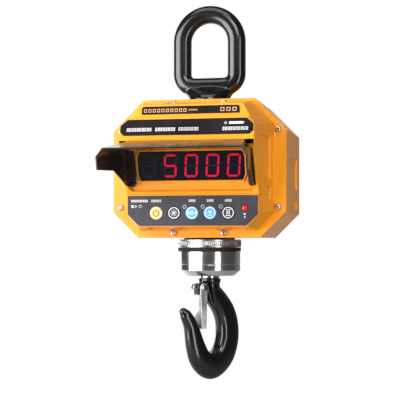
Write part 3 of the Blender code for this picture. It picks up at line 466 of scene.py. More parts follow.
class Shading:
    """Adds and joins the nodes of one tree."""

    def __init__(self, tree: bpy.types.NodeTree) -> None:
        """Keep the tree to work on."""
        self.tree = tree

    def add(self, kind: str, **values: object) -> bpy.types.Node:
        """Add a node and set its properties.

        Args:
            kind: The node's type name.
            values: Properties to set on it.

        Returns:
            The node.
        """
        node = self.tree.nodes.new(kind)
        for name, value in values.items():
            setattr(node, name, value)
        return node

    def feed(self, socket: bpy.types.NodeSocket, value: object) -> None:
        """Link a socket to an output, or set its plain value."""
        if isinstance(value, bpy.types.NodeSocket):
            self.tree.links.new(value, socket)
        else:
            socket.default_value = value

    def group(self, tree: bpy.types.NodeTree, **values: object) -> bpy.types.Node:
        """Place a shared effect.

        Args:
            tree: The group's tree.
            values: Its inputs, with underscores for spaces.

        Returns:
            The group node.
        """
        node = self.add("ShaderNodeGroup", node_tree=tree)
        for name, value in values.items():
            self.feed(node.inputs[name.replace("_", " ")], value)
        return node

    def math(self, operation: str, first: object, second: object = 0.0) -> bpy.types.NodeSocket:
        """Add a Math node and return its output."""
        node = self.add("ShaderNodeMath", operation=operation)
        self.feed(node.inputs[0], first)
        self.feed(node.inputs[1], second)
        return node.outputs[0]

    def noise(self, vector: object, scale: object, detail: float = 3.0) -> bpy.types.NodeSocket:
        """Add a noise texture and return its value."""
        node = self.add("ShaderNodeTexNoise")
        self.feed(node.inputs["Vector"], vector)
        self.feed(node.inputs["Scale"], scale)
        node.inputs["Detail"].default_value = detail
        return node.outputs[0]

    def spread(self, value: object, low: object, high: object, start: float = 0.35,
               end: float = 0.65) -> bpy.types.NodeSocket:
        """Map a value from start...end to low...high and return it.

        Args:
            value: The value.
            low: Result at start.
            high: Result at end.
            start: Where the mapping begins.
            end: Where it ends.

        Returns:
            The mapped value's socket.
        """
        node = self.add("ShaderNodeMapRange")
        self.feed(node.inputs["Value"], value)
        self.feed(node.inputs["From Min"], start)
        self.feed(node.inputs["From Max"], end)
        self.feed(node.inputs["To Min"], low)
        self.feed(node.inputs["To Max"], high)
        return node.outputs[0]

    def mix(self, share: object, first: object, second: object) -> bpy.types.NodeSocket:
        """Mix two colours and return the result."""
        node = self.add("ShaderNodeMix", data_type="RGBA")
        colours = [socket for socket in node.inputs if socket.type == "RGBA"]
        self.feed(node.inputs[0], share)
        self.feed(colours[0], first)
        self.feed(colours[1], second)
        return next(socket for socket in node.outputs if socket.type == "RGBA")

    def place(self) -> bpy.types.NodeSocket:
        """Return the Object coordinates."""
        return self.add("ShaderNodeTexCoord").outputs["Object"]


def effect(name: str, inputs: dict[str, float], outputs: Sequence[str],
           fill: Callable[[Shading, bpy.types.Node, bpy.types.Node], None]) -> bpy.types.NodeTree:
    """Build a shared shader effect as a node group.

    Args:
        name: Name of the group.
        inputs: Its inputs and their first values.
        outputs: Its outputs, which are plain numbers.
        fill: Builds the nodes between the group's input and output nodes.

    Returns:
        The group's tree.
    """
    tree = bpy.data.node_groups.new(name, "ShaderNodeTree")
    for label, value in inputs.items():
        socket = tree.interface.new_socket(name=label, in_out="INPUT", socket_type="NodeSocketFloat")
        socket.default_value = value
    for label in outputs:
        tree.interface.new_socket(name=label, in_out="OUTPUT", socket_type="NodeSocketFloat")
    shading = Shading(tree)
    fill(shading, shading.add("NodeGroupInput"), shading.add("NodeGroupOutput"))
    return tree


def fill_peel(shading: Shading, given: bpy.types.Node, result: bpy.types.Node) -> None:
    """Soft waves of sprayed paint, with a fine grain on top."""
    place = shading.place()
    waves = shading.noise(place, given.outputs["Scale"], 1.5)
    fine = shading.noise(place, shading.math("MULTIPLY", given.outputs["Scale"], 5.3), 2.0)
    height = shading.math("ADD", waves, shading.math("MULTIPLY", fine, given.outputs["Grain"]))
    shading.feed(result.inputs["Height"], height)


def fill_blotches(shading: Shading, given: bpy.types.Node, result: bpy.types.Node) -> None:
    """Broad uneven patches, for small changes of gloss and colour."""
    noise = shading.noise(shading.place(), given.outputs["Scale"], 5.0)
    shading.feed(result.inputs["Mask"], shading.spread(noise, given.outputs["Low"], given.outputs["High"]))


def fill_edge_wear(shading: Shading, given: bpy.types.Node, result: bpy.types.Node) -> None:
    """A broken mask along convex edges."""
    bevel = shading.add("ShaderNodeBevel", samples=6)
    shading.feed(bevel.inputs["Radius"], given.outputs["Radius"])
    geometry = shading.add("ShaderNodeNewGeometry")
    dot = shading.add("ShaderNodeVectorMath", operation="DOT_PRODUCT")
    shading.feed(dot.inputs[0], bevel.outputs[0])
    shading.feed(dot.inputs[1], geometry.outputs["Normal"])
    edge = shading.spread(dot.outputs["Value"], 1.0, 0.0, 0.86, 0.985)
    noise = shading.noise(shading.place(), given.outputs["Scale"], 6.0)
    broken = shading.spread(noise, 0.0, 1.0, 0.50, 0.62)
    mask = shading.math("MULTIPLY", shading.math("MULTIPLY", edge, broken), given.outputs["Amount"])
    shading.feed(result.inputs["Mask"], mask)


def fill_dust(shading: Shading, given: bpy.types.Node, result: bpy.types.Node) -> None:
    """A thin mask of dust on faces that look up."""
    geometry = shading.add("ShaderNodeNewGeometry")
    split = shading.add("ShaderNodeSeparateXYZ")
    shading.feed(split.inputs[0], geometry.outputs["Normal"])
    upward = shading.spread(split.outputs["Z"], 0.0, 1.0, 0.55, 1.0)
    noise = shading.noise(shading.place(), given.outputs["Scale"], 8.0)
    mask = shading.math("MULTIPLY", upward, shading.spread(noise, 0.2, 1.0))
    shading.feed(result.inputs["Mask"], shading.math("MULTIPLY", mask, given.outputs["Amount"]))


def fill_turned(shading: Shading, given: bpy.types.Node, result: bpy.types.Node) -> None:
    """Fine lines of a lathe tool, round the load axis."""
    split = shading.add("ShaderNodeSeparateXYZ")
    shading.feed(split.inputs[0], shading.place())
    radius = shading.math("SQRT", shading.math("ADD", shading.math("POWER", split.outputs["X"], 2.0),
                                               shading.math("POWER", split.outputs["Y"], 2.0)))
    lines = shading.add("ShaderNodeTexNoise", noise_dimensions="1D")
    shading.feed(lines.inputs["W"], shading.math("ADD", split.outputs["Z"], radius))
    shading.feed(lines.inputs["Scale"], given.outputs["Scale"])
    lines.inputs["Detail"].default_value = 4.0
    shading.feed(result.inputs["Height"], lines.outputs[0])
    shading.feed(result.inputs["Gloss"], shading.spread(lines.outputs[0], given.outputs["Low"],
                                                        given.outputs["High"]))


class Effects:
    """The shared effects, each built once."""

    def __init__(self) -> None:
        """Build every group."""
        self.peel = effect("paint_peel", {"Scale": 300.0, "Grain": 0.3}, ("Height",), fill_peel)
        self.blotches = effect("blotches", {"Scale": 20.0, "Low": 0.0, "High": 1.0}, ("Mask",),
                               fill_blotches)
        self.wear = effect("edge_wear", {"Radius": 0.0012, "Scale": 120.0, "Amount": 1.0}, ("Mask",),
                           fill_edge_wear)
        self.dust = effect("dust", {"Scale": 90.0, "Amount": 0.2}, ("Mask",), fill_dust)
        self.turned = effect("turned_lines", {"Scale": 2500.0, "Low": 0.1, "High": 0.2},
                             ("Height", "Gloss"), fill_turned)


@dataclass(frozen=True)
class Finish:
    """What every finish has: a name, a colour and a gloss."""

    name: str
    colour: Triple
    roughness: float
    slot: Slot

    def start(self) -> tuple[Material, Shading, bpy.types.Node]:
        """Make an empty material.

        Returns:
            The material, the helper on its tree, and its Principled shader.
        """
        material = bpy.data.materials.new(self.name)
        material.use_nodes = True
        material.diffuse_color = (*self.colour, 1.0)
        shader = material.node_tree.nodes["Principled BSDF"]
        shader.inputs["Base Color"].default_value = (*self.colour, 1.0)
        shader.inputs["Roughness"].default_value = self.roughness
        return material, Shading(material.node_tree), shader

    def bump(self, shading: Shading, shader: bpy.types.Node, height: object, distance: float) -> None:
        """Feed a height to the shader's normal.

        Args:
            shading: Helper on the material's tree.
            shader: The Principled shader.
            height: The height's socket.
            distance: Depth of the relief.
        """
        bump = shading.add("ShaderNodeBump")
        bump.inputs["Distance"].default_value = distance
        shading.feed(bump.inputs["Height"], height)
        shading.feed(shader.inputs["Normal"], bump.outputs[0])

    def patches(self, shading: Shading, effects: Effects, scale: float) -> bpy.types.NodeSocket:
        """Return the mask of broad uneven patches."""
        return shading.group(effects.blotches, Scale=scale, Low=0.0, High=1.0).outputs["Mask"]

    def gloss(self, shading: Shading, mask: object, shiny: float, dull: float) -> bpy.types.NodeSocket:
        """Return a roughness between two shares of the finish's own, over a mask."""
        return shading.spread(mask, self.roughness * shiny, self.roughness * dull, 0.0, 1.0)

    def lacquer(self, shader: bpy.types.Node, weight: float, roughness: float) -> None:
        """Put a clear coat on the shader."""
        shader.inputs["Coat Weight"].default_value = weight
        shader.inputs["Coat Roughness"].default_value = roughness

    def shade(self, lighter: float) -> tuple[float, float, float, float]:
        """Return the colour made lighter or darker by a factor."""
        red, green, blue = (min(1.0, part * lighter) for part in self.colour)
        return (red, green, blue, 1.0)


@dataclass(frozen=True)
class Paint(Finish):
    """Sprayed gloss paint with orange peel, a little dust and worn edges."""

    peel_scale: float = 260.0
    peel_depth: float = 0.00006
    grain: float = 0.25
    coat: float = 0.35
    wear: float = 0.25
    bare: Triple = (0.30, 0.30, 0.31)
    dust: float = 0.10
    uneven: float = 0.06

    def make(self, effects: Effects) -> Material:
        """Build the material.

        Args:
            effects: The shared effects.

        Returns:
            The material.
        """
        material, shading, shader = self.start()
        peel = shading.group(effects.peel, Scale=self.peel_scale, Grain=self.grain)
        patches = self.patches(shading, effects, 14.0)
        wear = shading.group(effects.wear, Radius=0.0011, Scale=170.0, Amount=self.wear)
        dust = shading.group(effects.dust, Scale=120.0, Amount=self.dust)
        paint = shading.mix(patches, self.shade(1.0 - self.uneven), self.shade(1.0 + self.uneven))
        dusty = shading.mix(dust.outputs["Mask"], paint, (0.55, 0.52, 0.47, 1.0))
        worn = shading.mix(wear.outputs["Mask"], dusty, (*self.bare, 1.0))
        shading.feed(shader.inputs["Base Color"], worn)
        dull = shading.math("MULTIPLY", dust.outputs["Mask"], 0.8)
        gloss = self.gloss(shading, patches, 0.86, 1.16)
        shading.feed(shader.inputs["Roughness"], shading.math("ADD", gloss, dull))
        self.lacquer(shader, self.coat, 0.06)
        self.bump(shading, shader, peel.outputs["Height"], self.peel_depth)
        return material


@dataclass(frozen=True)
class Moulded(Finish):
    """Plastic or rubber with a fine moulded grain."""

    grain_scale: float = 900.0
    grain_depth: float = 0.00003
    coat: float = 0.0
    dust: float = 0.02
    sheen: float = 0.25

    def make(self, effects: Effects) -> Material:
        """Build the material.

        Args:
            effects: The shared effects.

        Returns:
            The material.
        """
        material, shading, shader = self.start()
        grain = shading.group(effects.peel, Scale=self.grain_scale, Grain=0.5)
        patches = self.patches(shading, effects, 25.0)
        dust = shading.group(effects.dust, Scale=160.0, Amount=self.dust)
        plain = shading.mix(patches, self.shade(0.90), self.shade(1.12))
        dusty = shading.mix(dust.outputs["Mask"], plain, (0.45, 0.43, 0.40, 1.0))
        shading.feed(shader.inputs["Base Color"], dusty)
        dull = shading.math("MULTIPLY", dust.outputs["Mask"], 0.9)
        gloss = self.gloss(shading, patches, 0.82, 1.22)
        shading.feed(shader.inputs["Roughness"], shading.math("ADD", gloss, dull))
        shader.inputs["Specular IOR Level"].default_value = self.sheen
        self.lacquer(shader, self.coat, 0.08)
        self.bump(shading, shader, grain.outputs["Height"], self.grain_depth)
        return material


@dataclass(frozen=True)
class TurnedSteel(Finish):
    """Bare steel with the fine rings of a lathe tool."""

    lines: float = 2600.0
    depth: float = 0.000012

    def make(self, effects: Effects) -> Material:
        """Build the material.

        Args:
            effects: The shared effects.

        Returns:
            The material.
        """
        material, shading, shader = self.start()
        turned = shading.group(effects.turned, Scale=self.lines, Low=self.roughness * 0.7,
                               High=self.roughness * 1.4)
        patches = self.patches(shading, effects, 30.0)
        shading.feed(shader.inputs["Base Color"], shading.mix(patches, self.shade(0.90), self.shade(1.0)))
        smear = shading.math("MULTIPLY", patches, self.roughness * 0.35)
        shading.feed(shader.inputs["Roughness"], shading.math("ADD", turned.outputs["Gloss"], smear))
        shader.inputs["Metallic"].default_value = 1.0
        self.bump(shading, shader, turned.outputs["Height"], self.depth)
        return material


@dataclass(frozen=True)
class PlatedSteel(Finish):
    """Pressed or plated steel with faint blotches and fine scratches."""

    scratch: float = 700.0
    depth: float = 0.00002

    def make(self, effects: Effects) -> Material:
        """Build the material.

        Args:
            effects: The shared effects.

        Returns:
            The material.
        """
        material, shading, shader = self.start()
        patches = self.patches(shading, effects, 60.0)
        grain = shading.group(effects.peel, Scale=self.scratch, Grain=0.7)
        shading.feed(shader.inputs["Base Color"], shading.mix(patches, self.shade(0.82), self.shade(1.0)))
        shading.feed(shader.inputs["Roughness"], self.gloss(shading, patches, 0.75, 1.3))
        shader.inputs["Metallic"].default_value = 1.0
        self.bump(shading, shader, grain.outputs["Height"], self.depth)
        return material


@dataclass(frozen=True)
class Lit(Finish):
    """A clear coloured piece that may glow: the lit digits have light behind them, and the receiver lens,
    which has none, glows only with painted light.
    """

    glow: float = 0.0
    coat: float = 0.6
    sheen: float = 0.15

    def make(self, effects: Effects) -> Material:
        """Build the material.

        Args:
            effects: The shared effects.

        Returns:
            The material.
        """
        material, shading, shader = self.start()
        patches = self.patches(shading, effects, 45.0)
        colour = shading.mix(patches, self.shade(0.92), self.shade(1.06))
        shading.feed(shader.inputs["Base Color"], colour)
        shading.feed(shader.inputs["Emission Color"], colour)
        shading.feed(shader.inputs["Roughness"], self.gloss(shading, patches, 0.8, 1.25))
        shader.inputs["Specular IOR Level"].default_value = self.sheen
        # Emission: the digits' real glow, and on the receiver lens a painted glint of light
        shader.inputs["Emission Strength"].default_value = self.glow
        self.lacquer(shader, self.coat, 0.04)
        return material


class Palette(Enum):
    """Every finish of the object."""

    ORANGE = Paint("orange_gloss_paint", (0.94, 0.340, 0.006), 0.36, Slot.ORANGE_PAINT, peel_depth=0.00004,
                   coat=0.15, wear=0.08, bare=(0.80, 0.40, 0.10), uneven=0.03, dust=0.03)
    FORGED = Paint("forged_black_paint", (0.0045, 0.0042, 0.0050), 0.20, Slot.BLACK_PAINT, peel_scale=95.0,
                   peel_depth=0.00009, grain=0.10, coat=0.35, wear=0.18, dust=0.015)
    HOOK = Paint("hook_black_paint", (0.0045, 0.0042, 0.0050), 0.20, Slot.BLACK_PAINT, peel_scale=120.0,
                 peel_depth=0.00009, grain=0.10, coat=0.35, wear=0.20, dust=0.015)
    VISOR = Moulded("visor_gloss_plastic", (0.018, 0.014, 0.014), 0.26, Slot.VISOR_PLASTIC,
                    grain_scale=500.0, grain_depth=0.00001, coat=0.15, dust=0.02)
    PLATE = Moulded("plate_black_plastic", (0.013, 0.011, 0.013), 0.30, Slot.BLACK_PLASTIC, sheen=0.12)
    RUBBER = Moulded("seal_rubber", (0.016, 0.016, 0.016), 0.62, Slot.RUBBER, grain_depth=0.00004)
    BRIGHT = TurnedSteel("polished_steel", (0.80, 0.80, 0.81), 0.13, Slot.BRIGHT_STEEL)
    KNURL = PlatedSteel("knurled_steel", (0.66, 0.66, 0.67), 0.24, Slot.BRIGHT_STEEL)
    STEEL = PlatedSteel("plated_steel", (0.60, 0.60, 0.60), 0.30, Slot.STEEL)
    SCREW = PlatedSteel("bright_screw_steel", (0.74, 0.74, 0.75), 0.18, Slot.BRIGHT_STEEL)
    DARK_STEEL = PlatedSteel("blackened_steel", (0.06, 0.06, 0.06), 0.34, Slot.BLACK_PAINT)
    GLASS = Lit("display_window", (0.003, 0.002, 0.010), 0.10, Slot.DISPLAY_GLASS, coat=0.06)
    DIGIT = Lit("lit_digit", (0.48, 0.003, 0.022), 0.35, Slot.DIGITS, glow=0.75, coat=0.0)
    UNLIT = Lit("unlit_digit", (0.022, 0.012, 0.022), 0.30, Slot.DIGITS, coat=0.0)
    OVERLAY = Moulded("overlay_film", (0.046, 0.042, 0.054), 0.40, Slot.OVERLAY_FILM, grain_scale=1400.0,
                      grain_depth=0.00001)
    LATCH = PlatedSteel("latch_steel", (0.90, 0.89, 0.87), 0.50, Slot.BRIGHT_STEEL)
    KEY_YELLOW = Moulded("key_yellow", (0.86, 0.52, 0.13), 0.36, Slot.KEY_YELLOW, grain_scale=1200.0,
                         grain_depth=0.00001, dust=0.0)
    KEY_CHARCOAL = Moulded("key_charcoal", (0.040, 0.039, 0.048), 0.36, Slot.KEY_CHARCOAL,
                           grain_scale=1200.0, grain_depth=0.00001, dust=0.0)
    KEY_BLUE = Moulded("key_blue", (0.12, 0.42, 0.82), 0.36, Slot.KEY_BLUE, grain_scale=1200.0,
                       grain_depth=0.00001, dust=0.0)
    # The receiver lens has no lamp behind it: its small glow is painted light, a painted glint.
    LENS = Lit("receiver_lens", (0.62, 0.008, 0.020), 0.08, Slot.RED_LENS, glow=0.12, coat=1.0)
    BRONZE_INK = Moulded("bronze_ink", (0.62, 0.36, 0.18), 0.40, Slot.BLACK_PLASTIC, dust=0.0)
    PALE_INK = Moulded("pale_ink", (0.80, 0.80, 0.81), 0.45, Slot.OVERLAY_FILM, dust=0.0)
    DARK_INK = Moulded("dark_ink", (0.03, 0.03, 0.035), 0.45, Slot.OVERLAY_FILM, dust=0.0)
    STICKER = Moulded("blank_sticker", (0.86, 0.66, 0.25), 0.42, Slot.OVERLAY_FILM, dust=0.02)
    BOARD = Moulded("circuit_board", (0.02, 0.13, 0.06), 0.45, Slot.BOARD)
    WRAP = Moulded("battery_wrap", (0.05, 0.10, 0.28), 0.40, Slot.BATTERY_WRAP)


class Workshop:
    """Makes each material once, and hands finished pieces to the frame."""

    def __init__(self) -> None:
        """Build the shared effects."""
        self.effects = Effects()
        self.made: dict[Palette, Material] = {}

    def material(self, finish: Palette) -> Material:
        """Return a finish's material, made on first use."""
        if finish not in self.made:
            self.made[finish] = finish.value.make(self.effects)
        return self.made[finish]

    def deliver(self, obj: Object, finish: Palette, body: str = ROOT,
                stands_for: Sequence[str] = ()) -> None:
        """Finish a piece and tie it to the frame.

        Args:
            obj: The piece.
            finish: Its finish.
            body: The body that it moves with.
            stands_for: The CAD nodes that it replaces.
        """
        obj.data.materials.clear()
        obj.data.materials.append(self.material(finish))
        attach(obj, body)
        if stands_for:
            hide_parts(*stands_for)
        log.info("%s: %d faces on %s", obj.name, len(obj.data.polygons), body)

    def dress(self, finish: Palette, *nodes: str) -> None:
        """Give CAD nodes that stay a finish."""
        for name in nodes:
            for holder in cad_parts[name].material_slots:
                holder.material = self.material(finish)


# ---------------------------------------------------------------- node trees that repeat a shape

class Pattern:
    """A Geometry Nodes tree with named inputs, put on an object as a modifier."""

    def __init__(self, name: str) -> None:
        """Start the tree with a mesh input and a mesh output."""
        self.tree = bpy.data.node_groups.new(name, "GeometryNodeTree")
        self.tree.interface.new_socket(name="Geometry", in_out="INPUT", socket_type="NodeSocketGeometry")
        self.tree.interface.new_socket(name="Geometry", in_out="OUTPUT", socket_type="NodeSocketGeometry")
        self.sockets: dict[str, str] = {}
        self.helper = Shading(self.tree)
        self.given = self.helper.add("NodeGroupInput")

    def size(self, name: str, kind: str = "NodeSocketFloat") -> bpy.types.NodeSocket:
        """Add a named input.

        Args:
            name: Its name.
            kind: Its socket type.

        Returns:
            The socket that carries it inside the tree.
        """
        item = self.tree.interface.new_socket(name=name, in_out="INPUT", socket_type=kind)
        self.sockets[name] = item.identifier
        return self.given.outputs[name]

    def close(self, geometry: bpy.types.NodeSocket, material: bpy.types.NodeSocket) -> None:
        """Realize the instances, set the material and end the tree."""
        real = self.helper.add("GeometryNodeRealizeInstances")
        self.helper.feed(real.inputs[0], geometry)
        painted = self.helper.add("GeometryNodeSetMaterial")
        self.helper.feed(painted.inputs["Geometry"], real.outputs[0])
        self.helper.feed(painted.inputs["Material"], material)
        result = self.helper.add("NodeGroupOutput")
        self.helper.feed(result.inputs[0], painted.outputs[0])

    def run(self, obj: Object, **sizes: object) -> Object:
        """Run the tree on an object and keep only the mesh it makes.

        Args:
            obj: The object that the tree works on.
            sizes: Values of the named inputs, with underscores for spaces.

        Returns:
            The same object.
        """
        modifier = obj.modifiers.new(self.tree.name, "NODES")
        modifier.node_group = self.tree
        for name, value in sizes.items():
            modifier[self.sockets[name.replace("_", " ")]] = value
        return settle(obj)


class Knurl(Pattern):
    """Upright ridges set round a ring."""

    def __init__(self) -> None:
        """Build the tree: ridges on a circle, joined with the ring that comes in."""
        super().__init__("knurl_ridges")
        add, feed = self.helper.add, self.helper.feed
        count = self.size("Count", "NodeSocketInt")
        radius, height = self.size("Radius"), self.size("Height")
        width, middle = self.size("Width"), self.size("Middle")
        material = self.size("Material", "NodeSocketMaterial")
        circle = add("GeometryNodeMeshCircle")
        feed(circle.inputs["Vertices"], count)
        feed(circle.inputs["Radius"], radius)
        ridge = add("GeometryNodeMeshCylinder", fill_type="TRIANGLE_FAN")
        ridge.inputs["Vertices"].default_value = 6
        feed(ridge.inputs["Radius"], width)
        feed(ridge.inputs["Depth"], height)
        spread = add("GeometryNodeInstanceOnPoints")
        feed(spread.inputs["Points"], circle.outputs["Mesh"])
        feed(spread.inputs["Instance"], ridge.outputs["Mesh"])
        centre = add("ShaderNodeCombineXYZ")
        feed(centre.inputs["Z"], middle)
        shift = add("GeometryNodeTransform")
        feed(shift.inputs["Geometry"], spread.outputs["Instances"])
        feed(shift.inputs["Translation"], centre.outputs[0])
        joined = add("GeometryNodeJoinGeometry")
        feed(joined.inputs[0], self.given.outputs["Geometry"])
        feed(joined.inputs[0], shift.outputs[0])
        self.close(joined.outputs[0], material)


class ScrewSet(Pattern):
    """Copies of one screw head on the points that come in, each turned by a fixed random angle."""

    SEED = 7

    def __init__(self) -> None:
        """Build the tree: the head on every point, facing along the point's own direction."""
        super().__init__("screw_set")
        add, feed = self.helper.add, self.helper.feed
        head = self.size("Head", "NodeSocketObject")
        radius = self.size("Head Radius")
        material = self.size("Material", "NodeSocketMaterial")
        source = add("GeometryNodeObjectInfo")
        feed(source.inputs["Object"], head)
        outward = add("GeometryNodeInputNamedAttribute", data_type="FLOAT_VECTOR")
        outward.inputs["Name"].default_value = "outward"
        aim = add("FunctionNodeAlignRotationToVector", axis="Z")
        feed(aim.inputs["Vector"], outward.outputs[0])
        roll = add("FunctionNodeRandomValue", data_type="FLOAT")
        limits = [socket for socket in roll.inputs if socket.type == "VALUE"]
        limits[0].default_value, limits[1].default_value = 0.0, FULL_TURN
        roll.inputs["Seed"].default_value = self.SEED
        turn = add("FunctionNodeAxisAngleToRotation")
        turn.inputs["Axis"].default_value = (0.0, 0.0, 1.0)
        feed(turn.inputs["Angle"], next(out for out in roll.outputs if out.type == "VALUE"))
        both = add("FunctionNodeRotateRotation", rotation_space="LOCAL")
        feed(both.inputs[0], aim.outputs[0])
        feed(both.inputs[1], turn.outputs[0])
        spread = add("GeometryNodeInstanceOnPoints")
        feed(spread.inputs["Points"], self.given.outputs["Geometry"])
        feed(spread.inputs["Instance"], source.outputs["Geometry"])
        feed(spread.inputs["Rotation"], both.outputs[0])
        feed(spread.inputs["Scale"], radius)
        self.close(spread.outputs["Instances"], material)


# ---------------------------------------------------------------- lifting eye and hook

@dataclass
class LiftingEye:
    """The forged loop with its conical foot and shank."""

    top: float = 0.0240
    side: float = 0.0368
    bar: float = 0.0121
    depth: float = 0.0113
    floor: float = -0.0722
    corner: float = 0.0168
    shank_radius: float = 0.0180
    shank_levels: Triple = (-0.1090, -0.1300, -0.1600)
    voxel: float = 0.00085
    crown_steps: int = 48
    corner_steps: int = 12
    side_steps: int = 8
    foot: tuple[Triple, ...] = ((-0.0785, 0.0440, 0.0080), (-0.0850, 0.0412, 0.0116),
                                (-0.0923, 0.0336, 0.0200), (-0.0985, 0.0286, 0.0262),
                                (-0.1040, 0.0280, 0.0280), (-0.1130, 0.0280, 0.0280))

    def path(self) -> list[Triple]:
        """Return the loop's centre line as (x, z, half thickness in the plane of the loop)."""
        crown = self.top / 2
        crown_z = crown - self.side
        low_z = self.floor - self.bar + self.corner
        found = []
        for i in range(self.crown_steps + 1):
            turn = math.pi * i / self.crown_steps
            thick = self.bar + (crown - self.bar) * math.sin(turn)
            found.append((self.side * math.cos(turn), crown_z + self.side * math.sin(turn), thick))
        levels = [crown_z + (low_z - crown_z) * i / self.side_steps for i in range(1, self.side_steps)]
        found += [(-self.side, z, self.bar) for z in levels]
        for sign, first in ((-1, 180.0), (1, 270.0)):
            for i in range(self.corner_steps + 1):
                turn = math.radians(first + 90.0 * i / self.corner_steps)
                found.append((sign * (self.side - self.corner) + self.corner * math.cos(turn),
                              low_z + self.corner * math.sin(turn), self.bar))
        return found + [(self.side, z, self.bar) for z in reversed(levels)]

    def build(self) -> Object:
        """Return the eye as one skin with soft fillets."""
        bm = bmesh.new()
        path = self.path()
        rings = []
        for i, (x, z, thick) in enumerate(path):
            before, after = path[i - 1], path[(i + 1) % len(path)]
            along = Vector((after[0] - before[0], 0.0, after[1] - before[1])).normalized()
            across = Vector((along.z, 0.0, -along.x))
            rings.append(ellipse(Vector((x, 0.0, z)), across, thick, DEEP, self.depth, 32, 2.3))
        add_loft(bm, rings, closed=True)
        add_loft(bm, [ellipse(Vector((0, 0, z)), ACROSS, a, DEEP, b, 64)
                      for z, a, b in smooth_rows(self.foot, 5)])
        add_loft(bm, [circle(self.shank_radius, z) for z in self.shank_levels])
        return fused(link_mesh("eye_forging", bm), self.voxel, 9)

    def make(self, shop: Workshop) -> None:
        """Build and deliver the eye, and dress the pieces inside its foot."""
        shop.deliver(self.build(), Palette.FORGED, ROOT, ["lifting_eye"])
        shop.dress(Palette.RUBBER, "eye_seal")
        shop.dress(Palette.STEEL, "eye_lock_pin", "load_cell")


@dataclass
class Hook:
    """The swivel hook: a forged bow with a neck, a collar and the latch's lug."""

    turn: float = math.radians(227.0)
    pivot: Pair = (0.0150, -0.3522)
    lug_radius: float = 0.0062
    lug_half: float = 0.0040
    lug_edge: float = 0.0009
    voxel: float = 0.00070
    sides: int = 40
    tip_angles: tuple[float, ...] = (25.0, 50.0, 72.0, 88.0)
    spine: tuple[tuple[float, float, float, float], ...] = (
        (0.0000, -0.3520, 0.0136, 0.0134), (-0.0030, -0.3590, 0.0140, 0.0128),
        (-0.0145, -0.3710, 0.0145, 0.0118), (-0.0245, -0.3860, 0.0155, 0.0115),
        (-0.0295, -0.4050, 0.0163, 0.0118), (-0.0285, -0.4260, 0.0166, 0.0120),
        (-0.0195, -0.4460, 0.0172, 0.0122), (-0.0015, -0.4573, 0.0179, 0.0122),
        (0.0150, -0.4480, 0.0156, 0.0118), (0.0240, -0.4290, 0.0130, 0.0110),
        (0.0310, -0.4030, 0.0096, 0.0092), (0.0388, -0.3885, 0.0078, 0.0076),
        (0.0424, -0.3836, 0.0056, 0.0054))
    shank: tuple[Pair, ...] = ((0.0088, -0.3046), (0.0095, -0.3056), (0.0095, -0.3268),
                               (0.0107, -0.3285), (0.0107, -0.3560))
    collar: tuple[Pair, ...] = ((0.0150, -0.3398), (0.0150, -0.3450), (0.0138, -0.3464), (0.0138, -0.3540))
    flat: tuple[Pair, ...] = ((0.0075, -0.3440), (0.0300, -0.3440), (0.0300, -0.3850),
                              (-0.0055, -0.3850), (0.0015, -0.3620))

    def place(self) -> Matrix:
        """Return the turn of the hook's own plane about the load axis."""
        return Matrix.Rotation(self.turn, 4, "Z")

    def pivot_place(self) -> Matrix:
        """Return the latch pivot's place, whose own Z is square to the hook's plane."""
        along, up = self.pivot
        return self.place() @ Matrix.Translation((along, 0.0, up)) @ Matrix.Rotation(-math.pi / 2, 4, "X")

    def bow_rings(self) -> list[list[Vector]]:
        """Return the sections of the bow, with a rounded tip."""
        rows = smooth_rows(self.spine, 10)
        rings = []
        for i, row in enumerate(rows):
            before, after = rows[max(i - 1, 0)], rows[min(i + 1, len(rows) - 1)]
            run = Vector((after[0] - before[0], 0.0, after[1] - before[1])).normalized()
            across = Vector((-run.z, 0.0, run.x))
            share = min(1.0, i / 24.0)
            rings.append(ellipse(Vector((row[0], 0.0, row[1])), across, row[2], DEEP, row[3], self.sides,
                                 2.0 + 0.5 * share, 0.16 * share))
        end = rows[-1]
        for angle in self.tip_angles:
            size = math.cos(math.radians(angle))
            centre = Vector((end[0], 0.0, end[1])) + run * (end[2] * math.sin(math.radians(angle)))
            rings.append(ellipse(centre, across, end[2] * size, DEEP, end[3] * size, self.sides))
        return rings

    def build(self) -> Object:
        """Return the hook as one skin with soft fillets."""
        bm = bmesh.new()
        add_loft(bm, self.bow_rings())
        for profile in (self.shank, self.collar):
            add_loft(bm, [circle(r, z) for r, z in round_corners(profile, 0.0006)])
        neck = fused(link_mesh("hook_forging", bm), self.voxel, 2)
        for side in (-1, 1):
            self.cut_flat(neck, side)
        bm = bmesh.new()
        bm.from_mesh(neck.data)
        bpy.data.objects.remove(neck)
        along, up = self.pivot
        half, edge = self.lug_half, self.lug_edge
        lug = ((-half, self.lug_radius - edge), (edge - half, self.lug_radius),
               (half - edge, self.lug_radius), (half, self.lug_radius - edge))
        add_loft(bm, [[Vector((along + spot.x, y, up + spot.y)) for spot in circle(r, 0.0, self.sides)]
                      for y, r in lug])
        hook = fused(link_mesh("hook_forging", bm), self.voxel, 5)
        return moved(hook, self.place())

    def cut_flat(self, neck: Object, side: int) -> None:
        """Cut one of the flats beside the lug, which the latch's ears swing past.

        Args:
            neck: The hook so far, in its own plane.
            side: -1 or 1.
        """
        near, far = side * (self.lug_half + 0.0002), side * 0.0200
        bm = bmesh.new()
        add_loft(bm, [[Vector((s, y, z)) for s, z in self.flat] for y in (near, far)])
        cutter = link_mesh("flat_cutter", bm)
        modifier = neck.modifiers.new("flat", "BOOLEAN")
        modifier.operation = "DIFFERENCE"
        modifier.solver = "EXACT"
        modifier.object = cutter
        settle(neck)
        bpy.data.objects.remove(cutter)

    def make(self, shop: Workshop) -> None:
        """Build and deliver the hook, and dress what it turns on."""
        shop.deliver(self.build(), Palette.HOOK, "hook", ["hook"])
        shop.dress(Palette.STEEL, "hook_nut", "nut_pin", "upper_race")


